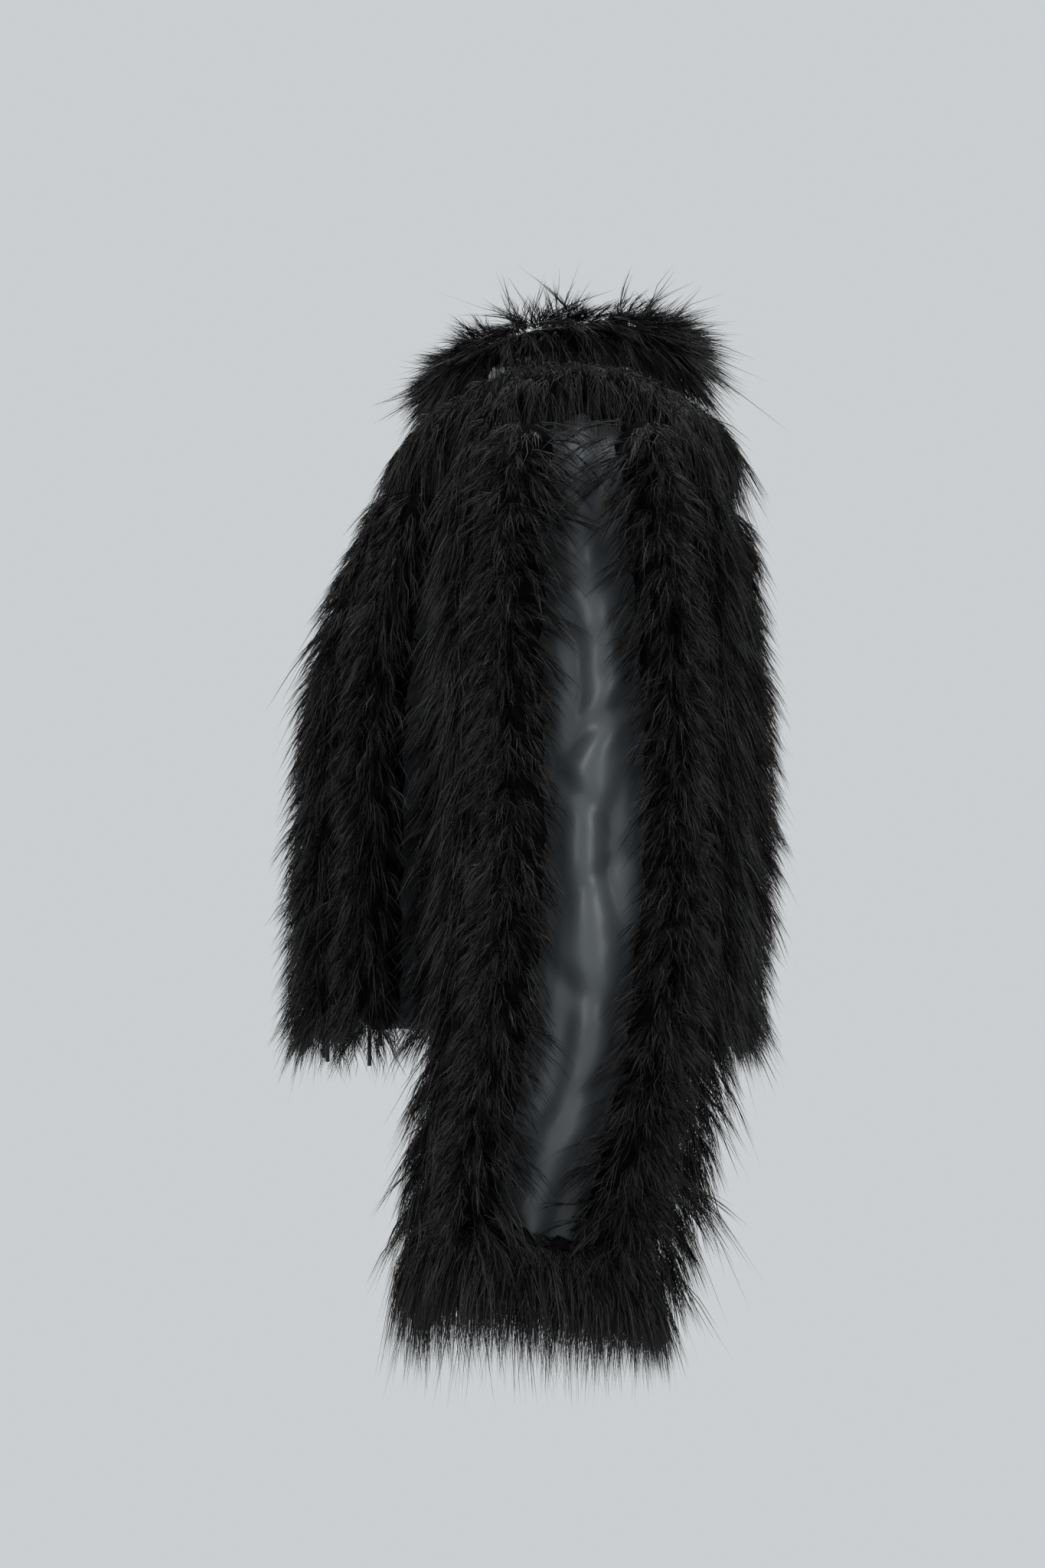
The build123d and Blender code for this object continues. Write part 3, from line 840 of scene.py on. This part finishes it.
def open_armholes(piece):
    """Remove the cloth inside each armhole and draw the edge onto the hole's outline."""
    bpy.ops.object.select_all(action="DESELECT")
    bpy.context.view_layer.objects.active = piece
    bpy.ops.object.mode_set(mode="EDIT")
    bpy.ops.mesh.select_mode(type="FACE")
    bpy.ops.mesh.select_all(action="DESELECT")
    bpy.ops.object.mode_set(mode="OBJECT")
    for face in piece.data.polygons:
        middle = face.center
        away = (np.array([middle.y, middle.z]) - ARMHOLE_MIDDLE) / ARMHOLE_HALF
        face.select = abs(middle.x) > ARMHOLES_FROM_X and np.hypot(*away) < 1
    bpy.ops.object.mode_set(mode="EDIT")
    bpy.ops.mesh.delete(type="FACE")
    bpy.ops.mesh.select_mode(type="VERT")
    bpy.ops.object.mode_set(mode="OBJECT")
    for vertex in piece.data.vertices:
        away = (np.array([vertex.co.y, vertex.co.z]) - ARMHOLE_MIDDLE) / ARMHOLE_HALF
        near = np.hypot(*away)
        if abs(vertex.co.x) > ARMHOLES_FROM_X and near < 1.0:
            vertex.co.y, vertex.co.z = ARMHOLE_MIDDLE + away / near * ARMHOLE_HALF


# %% [markdown]
# ## Satin, lining and neckband
# The jacket is two layers deep: satin outside and a smoother black lining inside, each cut to
# the same panels. The fronts ride on their own bodies, because they fold open.

# %% Lay the panels
LOW_HEIGHTS = np.linspace(HEM, YOKE_SEAM - 0.0006, 60)
YOKE_HEIGHTS = np.concatenate([
    np.linspace(YOKE_SEAM, -0.03, 14), np.linspace(-0.028, NECK_SEAM - 0.0004, 12)
])
SATIN_LIFT = -0.0009
LAYERS = {
    "panel": (SATIN, "satin", SATIN_LIFT, 0.0007),
    "lining": (LINING, "lining", -0.0028, 0.0009),
}
REGION_COLUMNS = {"front": 24, "side": 40, "back": 40}
for layer, (material, slot, lift, depth) in LAYERS.items():
    for region, columns in REGION_COLUMNS.items():
        grid = panel(region, LOW_HEIGHTS, lift, depth, columns, seed=len(layer) + len(region))
        width, length, area = cloth_size(grid)
        for side, sign in (("left", 1), ("right", -1)):
            if region == "back" and side == "right":
                continue
            name = f"back_{layer}" if region == "back" else f"{side}_{region}_{layer}"
            piece = cloth_grid(name + "_cloth", grid * np.array([sign, 1, 1]))
            open_armholes(piece)
            body = f"{side}_front" if region == "front" else "jacket_body"
            finish_cloth(piece, material, body, name, (width, length), area)
    grid = panel("ring", YOKE_HEIGHTS, lift, depth, 80, seed=3)
    width, length, area = cloth_size(grid)
    piece = cloth_grid(f"yoke_{layer}_cloth", grid)
    open_armholes(piece)
    node = "yoke" if layer == "panel" else "yoke_lining"
    finish_cloth(piece, material, "jacket_body", node, (width, length), area)

grid = panel("ring", np.linspace(NECK_SEAM + 0.0004, NECK_TOP, 8), SATIN_LIFT, 0.0003, 80, seed=9)
width, length, area = cloth_size(grid)
piece = cloth_grid("neckband_cloth", grid)
finish_cloth(piece, SATIN, "jacket_body", "neckband", (width, length), area)

# %% [markdown]
# ## Upright rows on the body
# Three full rows and a squeezed one stand on each side of the front and of the back, and one
# more squeezed row runs under each arm. The arm presses on the squeezed rows, so their fluff
# is thin and wide. The left rows are placed and the right ones are their mirror images.

# %% Upright rows
BOA = (0.026, 0.026)
BOA_LIFT = 0.029
COLUMNS = {"centre": 0.034, "middle": 0.090, "outer": 0.146}
COLUMN_TOP, COLUMN_BOTTOM = -0.100, -0.506
LEVELS = (-0.150, -0.220, -0.300, -0.400)
HEM_ROW = {"floor": -0.512, "short": 0.026}
OUTER_REACH = (1.45, 1.45)


def levels_from(top):
    """Heights of a row's points from its top to the hem."""
    return [top, *[z for z in LEVELS if z < top - 0.020], COLUMN_BOTTOM]


def both_sides(name, body, route, lean=0.0, toward=None, **look):
    """The left row and its mirror image, each with feathers of its own."""
    for side, path, sign in (("left", route, 1), ("right", route.mirrored(), -1)):
        if toward:
            look["toward"] = (toward[0], toward[1] * sign)
        seed = sum(map(ord, name + side))
        feather_row(f"{side}_{name}", body.format(side=side), path, seed=seed, lean=sign * lean, **look)


for label, x in COLUMNS.items():
    for back in (False, True):
        route = lifted_route(
            lambda z, lift: column_point(z, x, back, lift), levels_from(COLUMN_TOP), BOA_LIFT
        )
        outer = label == "outer"
        body = "jacket_body" if back or outer else "{side}_front"
        toward = (OUTER_REACH, 1 if back else -1) if outer else None
        name = f"{'back' if back else 'front'}_{label}_row"
        both_sides(name, body, route, toward=toward, half=BOA, per_metre=22500, **HEM_ROW)
print("full rows done,", sum(barbs_made), "barbs so far")

# %% Squeezed rows
CLEARANCE = 0.003
CORNER_TURN, CORNER_DEPTH, CORNER_TOPS = 70, 0.011, {"front": -0.112, "back": -0.205}
SIDE_DEPTH, SIDE_TOP = 0.0085, -0.215
for label, top in CORNER_TOPS.items():
    turn = CORNER_TURN if label == "front" else 180 - CORNER_TURN
    route = lifted_route(lambda z, lift: skin(z, turn, lift), levels_from(top), CORNER_DEPTH + CLEARANCE)
    name = f"{label}_corner_row"
    both_sides(name, "jacket_body", route, half=(0.040, 0.020), per_metre=25500, **HEM_ROW)
route = lifted_route(lambda z, lift: skin(z, 90, lift), levels_from(SIDE_TOP), SIDE_DEPTH + CLEARANCE)
both_sides("side_row", "jacket_body", route, half=(0.024, 0.011), per_metre=13500, droop=0.026, **HEM_ROW)
print("upright rows done,", sum(barbs_made), "barbs so far")

# %% [markdown]
# ## Collar and yoke
# Two rings run round the neck and over the shoulders from one front edge to the other. On a
# level row the plumes can't hide behind one another, so its feathers are the closest, they
# bend late and its down is thinner. The collar's plumes stand out and the yoke's spill over.

# %% Rings round the neck
RING_LIFT = 0.033
RING_END_X = 0.010
COLLAR = ((25, -0.014), (55, -0.006), (85, 0.002), (115, 0.008), (145, 0.011), (166, 0.012))
YOKE = ((18, -0.064), (42, -0.050), (66, -0.034), (90, -0.028), (114, -0.033), (140, -0.045), (164, -0.054))
LEVEL_ROW = {"bend": 2.8, "mat": 0.46, "sag": 0.003}


def ring_route(stations, end_height):
    """A ring through stations of (turn, height), from the left front edge to the right one."""

    def left_half(lift):
        end = skin(end_height, 0, lift, across=RING_END_X)
        return np.array([end] + [skin(height, turn, lift) for turn, height in stations])

    points = left_half(RING_LIFT)
    outward = unit(points - left_half(RING_LIFT - LOWER_STEP))
    flip = np.array([-1, 1, 1])
    return Route(np.vstack([points, points[::-1] * flip]), np.vstack([outward, outward[::-1] * flip]))


def spill_over(root, along, outward, way):
    return DOWN + 0.15 * outward


def stand_out(root, along, outward, way):
    return 0.8 * DOWN + 0.45 * outward + 0.35 * way


feather_row(
    "yoke_row", "jacket_body", ring_route(YOKE, -0.068), half=(0.030, 0.019), per_metre=42000,
    fall=spill_over, droop=0.036, seed=5, ends=(0.8, 0.1), **LEVEL_ROW,
)
feather_row(
    "collar_row", "jacket_body", ring_route(COLLAR, -0.016), half=(0.028, 0.017), per_metre=51000,
    fall=stand_out, droop=0.030, seed=6, ends=(0.5, 0.3), raised=0.3, toward=((1.2, 1.2), 1), **LEVEL_ROW,
)
print("collar and yoke done,", sum(barbs_made), "barbs so far")

# %% [markdown]
# ## Sleeves
# The sleeve is a tapering tube that leaves the armhole, drops to the elbow and bends
# forward to the wrist. Seven lines of boa run down it, two of them one row that crosses the
# shoulder, and the place of the eighth, on the outside, is the bare satin strip. Each point of
# a row is found from a place on the sleeve's middle line and a turn round it.

# %% Sleeve line and its directions
SLEEVE = [
    (np.array([0.205, 0.021, -0.088]), 0.048),
    (np.array([0.243, 0.023, -0.200]), 0.051),
    (np.array([0.276, 0.030, -0.400]), 0.050),
    (np.array([0.3105, -0.0215, -0.666]), 0.044),
]
LAST = len(SLEEVE) - 1
SLEEVE_LIFT = BOA_LIFT + 0.0035
CUFF_FROM_END, CUFF_HALF = 0.019, (0.025, 0.038)
ROW_STOP = -(CUFF_FROM_END + CUFF_HALF[1] + CLEARANCE)


def sleeve_frame(index):
    """Directions along the sleeve, away from the body and forward, at one of its places."""
    runs = [unit(b[0] - a[0]) for a, b in zip(SLEEVE, SLEEVE[1:])]
    along = unit(runs[max(index - 1, 0)] + runs[min(index, LAST - 1)])
    outward = unit(np.array([1.0, 0, 0]) - along * along[0])
    return along, outward, np.cross(along, outward)


def sleeve_way(index, turn):
    _, outward, forward = sleeve_frame(index)
    return outward * math.cos(math.radians(turn)) + forward * math.sin(math.radians(turn))


def sleeve_point(index, turn, lift, onward=0.0):
    place, radius = SLEEVE[index]
    return place + sleeve_way(index, turn) * (radius + lift) + sleeve_frame(index)[0] * onward


def sleeve_leg(turns, lift, first=0):
    """Points and outward directions of a row down the sleeve."""
    points = [sleeve_point(i, turns[i], lift, ROW_STOP if i == LAST else 0) for i in range(first, LAST + 1)]
    return np.array(points), np.array([sleeve_way(i, turns[i]) for i in range(first, LAST + 1)])


print("the sleeve has", len(SLEEVE), "places, the last at height", SLEEVE[LAST][0][2])

# %% [markdown]
# ## Sleeve satin
# The bare strip down the outside of the sleeve is where the satin is seen, so its folds are
# sculpted: one soft ridge wanders down the strip like an S, a hollow lies beside it, slanted
# buckles cross it, and fine drag lines run off it. The sleeve is one tube with a domed
# shoulder, and only the strip has deep folds, because the rows press the rest flat.

# %% Sleeve line
def sleeve_centre(share):
    """Middle, radius and directions of the sleeve at shares of its length."""
    places = np.array([place for place, _ in SLEEVE])
    radii = np.array([radius for _, radius in SLEEVE])
    frames = [sleeve_frame(i) for i in range(len(SLEEVE))]
    table = np.hstack([places, radii[:, None], *[np.array([f[k] for f in frames]) for k in range(3)]])
    travel = np.concatenate([[0], np.cumsum(np.linalg.norm(np.diff(places, axis=0), axis=1))])
    picked = np.stack([np.interp(share * travel[-1], travel, table[:, i]) for i in range(13)], -1)
    along = unit(picked[:, 4:7])
    outward = unit(picked[:, 7:10])
    return picked[:, :3], picked[:, 3], along, outward, np.cross(along, outward)


# %% Folds of the strip
RIDGE_SWING, RIDGE_WAVE, RIDGE_START = 0.011, 0.26, -0.290
RIDGE_HEIGHT, RIDGE_WIDTH, HOLLOW_DEPTH = 0.0050, 0.016, 0.0060
BUCKLES = (  # height, slant and depth
    (-0.262, 0.7, 0.0035), (-0.318, -0.8, 0.003), (-0.365, 0.6, 0.003),
    (-0.447, -0.5, 0.0035), (-0.520, 0.5, 0.0025), (-0.150, 0.4, 0.0025),
)


def strip_folds(sideways, height):
    """How far the strip's satin stands out; sideways is metres from the strip's middle."""
    swing = RIDGE_SWING * np.sin(math.tau * (RIDGE_START - height) / RIDGE_WAVE)
    off = sideways - swing
    ridge = RIDGE_HEIGHT * np.exp(-((off / RIDGE_WIDTH) ** 2))
    beside = (off - np.sign(swing) * -0.020) / 0.012
    hollow = -HOLLOW_DEPTH * np.exp(-(beside ** 2)) * np.abs(swing) / RIDGE_SWING
    drag = 0.0005 * np.sin((height + off * 1.1) * 170 + 2 * np.sin(height * 31))
    drag = drag * np.exp(-((off / 0.030) ** 2)) * (0.5 + 0.5 * np.sin(height * 23 + 1))
    buckle = sum(
        -depth * np.exp(-(((height - place) + slant * sideways) / 0.010) ** 2)
        for place, slant, depth in BUCKLES
    )
    return ridge + hollow + drag + buckle


# %% Sleeve tube
DOME_ROWS = 22
STRIP_FADE = 0.040


def sleeve_grid(inset, folds, rows, columns):
    """Places of the sleeve's cloth: a dome over the shoulder, then the tube down to the wrist."""
    share = np.linspace(0, 1, rows)
    centre, radius, along, outward, forward = sleeve_centre(share)
    angle = np.linspace(0, math.tau, columns)
    way = np.cos(angle)[None, :, None] * outward[:, None] + np.sin(angle)[None, :, None] * forward[:, None]
    tube = centre[:, None] + way * (radius[:, None, None] - inset)
    polar = np.radians(np.linspace(2, 88, DOME_ROWS))
    dome_way = np.sin(polar)[:, None, None] * way[0][None] - np.cos(polar)[:, None, None] * along[0]
    dome = centre[0] + dome_way * (radius[0] - inset)
    places = np.vstack([dome, tube])
    out = np.vstack([dome_way, way])
    half_turn = (angle + math.pi) % math.tau - math.pi
    dome_radius = np.full(DOME_ROWS, radius[0])
    sideways = half_turn[None] * np.concatenate([dome_radius, radius])[:, None]
    fade = np.exp(-((sideways / STRIP_FADE) ** 4))
    fold = strip_folds(sideways, places[..., 2]) * fade
    pucker = 0.0008 * np.sin(half_turn * 24 + 3 * np.sin(places[..., 2] * 40)) * (1 - fade)
    return places + out * ((fold - 0.002) * folds + pucker)[..., None]


SLEEVE_CUT_X = 0.188


def trim_at_armhole(piece, side):
    """Cut the sleeve's shoulder off square where the armhole begins."""
    bpy.ops.object.select_all(action="DESELECT")
    bpy.context.view_layer.objects.active = piece
    piece.select_set(True)
    bpy.ops.object.mode_set(mode="EDIT")
    bpy.ops.mesh.select_all(action="SELECT")
    bpy.ops.mesh.bisect(
        plane_co=(side * SLEEVE_CUT_X, 0, 0), plane_no=(side, 0, 0), clear_inner=True, clear_outer=False
    )
    bpy.ops.object.mode_set(mode="OBJECT")


# %% Sleeve satin and lining
SHARE_LEFT_BY_CUT = 0.93
SLEEVE_LAYERS = {  # finish, how far inside, how much of the folds, rows and columns
    "satin": (SATIN, 0.0009, 1.0, 170, 121),
    "lining": (LINING, 0.0070, 0.5, 90, 73),
}
for side, sign in (("left", 1), ("right", -1)):
    for layer, (material, inset, folds, rows, columns) in SLEEVE_LAYERS.items():
        grid = sleeve_grid(inset, folds, rows, columns) * np.array([sign, 1, 1])
        width, length, area = cloth_size(grid)
        piece = cloth_grid(f"{side}_sleeve_{layer}_cloth", grid, closed=True)
        trim_at_armhole(piece, sign)
        body, node, area = f"{side}_sleeve", f"{side}_sleeve_{layer}", area * SHARE_LEFT_BY_CUT
        finish_cloth(piece, material, body, node, (width, length), area)

# %% [markdown]
# ## Armhole gussets
# The sleeve turns in the armhole, and cloth has to follow it. A gusset is a short ring of satin
# from the edge of the hole in the body to the cut end of the sleeve. It is fixed where it lies
# and rides on neither body. Shallow gathers run round it.


# %% Edges of the gusset
def sleeve_edge(angle, inset=0.0015):
    """Where a ray from the armhole's middle meets the sleeve, on the plane of its cut."""
    way = np.array([0, math.cos(angle), math.sin(angle)])
    start = np.array([SLEEVE_CUT_X, *ARMHOLE_MIDDLE])
    share = np.linspace(0, 0.6, 60)
    centre, radius, *_ = sleeve_centre(share)
    low, high = 0.0, 0.15
    for _ in range(24):
        middle = (low + high) / 2
        inside = (np.linalg.norm(start + way * middle - centre, axis=1) < radius - inset).any()
        low, high = (middle, high) if inside else (low, middle)
    return start + way * low


def armhole_edge(angle):
    """The armhole's edge on the body's satin."""
    y, z = ARMHOLE_MIDDLE + ARMHOLE_HALF * np.array([math.cos(angle), math.sin(angle)])
    line = outline(z, SATIN_LIFT)
    return np.array([float(np.interp(y, line[:, 1], line[:, 0])), y, z])


# %% Gussets
GATHER_DEPTH, GATHERS = 0.0015, 18
BLEND_FROM_X = 0.162
angles = np.linspace(0, math.tau, 73)
inner = np.array([armhole_edge(a) for a in angles])
outer = np.array([sleeve_edge(a) for a in angles])
share = np.linspace(0, 1, 9)[:, None, None]
gusset = inner[None] * (1 - share) + outer[None] * share
gusset[..., 1:] += GATHER_DEPTH * np.sin(share * math.pi) * np.sin(angles * GATHERS)[None, :, None]
for side, sign in (("left", 1), ("right", -1)):
    grid = gusset * np.array([sign, 1, 1])
    width, length, area = cloth_size(grid)
    piece = cloth_grid(f"{side}_armhole_gusset", grid, closed=True)
    start, end = (sign * BLEND_FROM_X, 0, 0), (sign * SLEEVE_CUT_X, 0, 0)
    crossing = ("jacket_body", f"{side}_sleeve", start, end)
    finish_cloth(piece, SATIN, None, None, (width, length), area, blend=crossing)

# %% [markdown]
# ## Rows beside the strip
# Two rows frame the bare strip. Their plumes lean a little towards it and reach over it most
# at its two ends, which narrows it there. Both rows run a little way into the cuff.

# %% Strip rows
STRIP_TURNS = (35, 44, 45, 44)
STRIP_EDGE = (1.9, 1.55, 1.15, 1.05, 1.10, 1.4, 1.9)
STRIP_LEAN, STRIP_RISE, INTO_CUFF = 0.3, 0.16, 0.06
for sign, label in ((1, "front"), (-1, "back")):
    points, outward = sleeve_leg([sign * t for t in STRIP_TURNS], SLEEVE_LIFT)
    points[0] += (points[0] - points[1]) * STRIP_RISE
    points[-1] += (points[-1] - points[-2]) * INTO_CUFF
    both_sides(
        f"sleeve_{label}_strip_row", "{side}_sleeve", Route(points, outward), half=(0.033, 0.026),
        per_metre=33000, toward=(STRIP_EDGE, -sign), lean=-sign * STRIP_LEAN,
    )
print("strip rows done,", sum(barbs_made), "barbs so far")

# %% [markdown]
# ## Shoulder row
# One long row comes up the front of the sleeve, arches over the shoulder and goes down the
# back. Its points are the two legs with a half circle of points between them.

# %% Shoulder row
ARCH_X, ARCH_RADIUS, ARCH_STEP = 0.218, 0.0765, 36
shoulder = SLEEVE[0][0]
angles = np.radians(np.arange(0, 181, ARCH_STEP))
arch_way = np.stack([0 * angles, -np.cos(angles), np.sin(angles)], -1)
arch_middle = np.array([ARCH_X, shoulder[1], shoulder[2]])
arch = arch_middle + arch_way * ARCH_RADIUS / math.cos(math.radians(ARCH_STEP / 2))
front_points, front_out = sleeve_leg([90] * 4, SLEEVE_LIFT, first=1)
back_points, back_out = sleeve_leg([-90] * 4, SLEEVE_LIFT, first=1)
for points in (front_points, back_points):
    points[-1] += (points[-1] - points[-2]) * INTO_CUFF
arch_points = np.vstack([front_points[::-1], arch, back_points])
arch_outward = np.vstack([front_out[::-1], arch_way, back_out])
both_sides(
    "sleeve_shoulder_row", "{side}_sleeve", Route(arch_points, arch_outward), half=BOA,
    per_metre=27750, droop=0.040, raised=0.5, bend=2.5, mat=0.42,
)
print("shoulder rows done,", sum(barbs_made), "barbs so far")

# %% [markdown]
# ## Rows on the inside of the sleeve
# The arm presses these rows against the jacket, so they are thin, and they start below the
# armhole, where a full row would be in the way.

# %% Under and inner rows
UNDER_HALF, INNER_HALF, UNDER_START = (0.024, 0.013), (0.020, 0.008), 0.62
UNDER_ROWS = {"front_under": (135, UNDER_HALF), "back_under": (-135, UNDER_HALF), "inner": (180, INNER_HALF)}
for label, (turn, half) in UNDER_ROWS.items():
    points, outward = sleeve_leg([turn] * 4, half[1] + CLEARANCE, first=1)
    points[0] += (points[1] - points[0]) * UNDER_START
    points[-1] += (points[-1] - points[-2]) * INTO_CUFF
    route = Route(points, outward)
    both_sides(f"sleeve_{label}_row", "{side}_sleeve", route, half=half, per_metre=13500, droop=0.030)
print("sleeve rows done,", sum(barbs_made), "barbs so far")

# %% [markdown]
# ## Cuffs
# The cuff is one ring of boa about the wrist, with the longest plumes of the jacket. They
# hang below the satin and hide its edge. The ring is nearly level, so it takes the level
# rows' look, with its plumes raised further and let down to one height.

# %% Cuff rings
CUFF_RISE = 0.017
cuff_along, cuff_outward, cuff_forward = sleeve_frame(LAST)
cuff_middle = SLEEVE[LAST][0] - cuff_along * CUFF_FROM_END
turns = np.linspace(0, math.tau, 49)
cuff_way = np.cos(turns)[:, None] * cuff_outward + np.sin(turns)[:, None] * cuff_forward
cuff_points = cuff_middle + cuff_way * (SLEEVE[LAST][1] + CLEARANCE + CUFF_HALF[0])
cuff_points = cuff_points - cuff_along * CUFF_RISE


def hang_from_wrist(root, along, outward, way):
    return DOWN - 0.08 * outward


both_sides(
    "cuff_row", "{side}_sleeve", Route(cuff_points, cuff_way, smooth=False), half=(0.040, 0.020),
    per_metre=72000, droop=0.050, fall=hang_from_wrist, floor=-0.697, raised=0.9, loose=0.8, **LEVEL_ROW,
)
most = BARB_TRIANGLES * max(barbs_made)
print("feathers done:", sum(barbs_made), "barbs, and at most", most, "triangles of barbs in a row")

# %% [markdown]
# ## Cords, hooks and eyes
# The boa cords are black cotton and show only inside a row, so their twist is a slanting bump
# and not modelled strands. The hooks and eyes are lacquered wire: dark metal with a thin coat,
# and a noise that lightens it in spots, as wear does. Both keep their CAD shape.

# %% Cord finish
CORD_RAMP = [(0.2, (0.004, 0.004, 0.005)), (0.8, (0.020, 0.020, 0.022))]


def cord_finish():
    finish = Finish("cotton_cord", Roughness=0.85, Sheen_Weight=0.2)
    place = finish.add("ShaderNodeTexCoord", output="Object")
    waves = {"Vector": place, "Scale": 180.0, "Distortion": 0.5}
    twist = finish.add("ShaderNodeTexWave", {"bands_direction": "DIAGONAL"}, waves, output=1)
    colour = finish.add("ShaderNodeValToRGB", {"ramp": CORD_RAMP}, {"Fac": twist})
    bump = finish.add("ShaderNodeBump", None, {"Height": twist, "Strength": 0.5, "Distance": 0.0005})
    finish.paint(Base_Color=colour, Normal=bump)
    return finish.material


# %% Wire finish
WIRE_RAMP = [(0.45, (0.012, 0.012, 0.013)), (0.75, (0.09, 0.088, 0.085))]


def wire_finish():
    finish = Finish("black_wire", Metallic=1.0, Coat_Weight=0.4)
    place = finish.add("ShaderNodeTexCoord", output="Object")
    wear = finish.add("ShaderNodeTexNoise", None, {"Vector": place, "Scale": 700.0, "Detail": 3.0})
    colour = finish.add("ShaderNodeValToRGB", {"ramp": WIRE_RAMP}, {"Fac": wear})
    finish.paint(Base_Color=colour, Roughness=wear * 0.25 + 0.2)
    return finish.material


# %% Give the CAD pieces their finish
CORD, WIRE = cord_finish(), wire_finish()
for node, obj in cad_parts.items():
    finish = CORD if node.endswith("core_cords") else WIRE if node in ("front_hooks", "front_eyes") else None
    if finish:
        obj.data.materials.clear()
        obj.data.materials.append(finish)
        print(node, "is", finish.name)

# %% [markdown]
# ## Hanger loop
# The loop is a narrow woven tape that hangs in a U inside the back of the neck. It is a strip
# of cloth along a smooth route, with fine ribs across it from the weaving.

# %% Hanger loop
LOOP_WIDTH, RIB_HEIGHT, RIBS = 0.006, 0.00012, 4
low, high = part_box("hanger_loop")
loop_y = (low[1] + high[1]) / 2
half, top, drop = (high[0] - low[0]) / 2 - LOOP_WIDTH / 2, high[2], high[2] - low[2]
turn_z, foot_z = top - drop * 0.55, top - drop + LOOP_WIDTH / 2
route = Route(
    [(-half, loop_y, top), (-half, loop_y, turn_z), (-half * 0.75, loop_y, foot_z), (0, loop_y, foot_z),
     (half * 0.75, loop_y, foot_z), (half, loop_y, turn_z), (half, loop_y, top)],
    [(0, -1, 0)] * 7,
)
centre, along, outward = route.at(np.linspace(0, 1, 61))
across = np.linspace(-0.5, 0.5, 9)
ribs = RIB_HEIGHT * np.cos(across * math.tau * RIBS)
sideways = np.cross(along, outward)[:, None] * (across * LOOP_WIDTH)[None, :, None]
tape = centre[:, None] + sideways + outward[:, None] * ribs[None, :, None]
width, length, area = cloth_size(tape)
piece = cloth_grid("hanger_loop_tape", tape)
finish_cloth(
    piece, TAPE, "hanger_tape", "hanger_loop", (width, length), area,
)
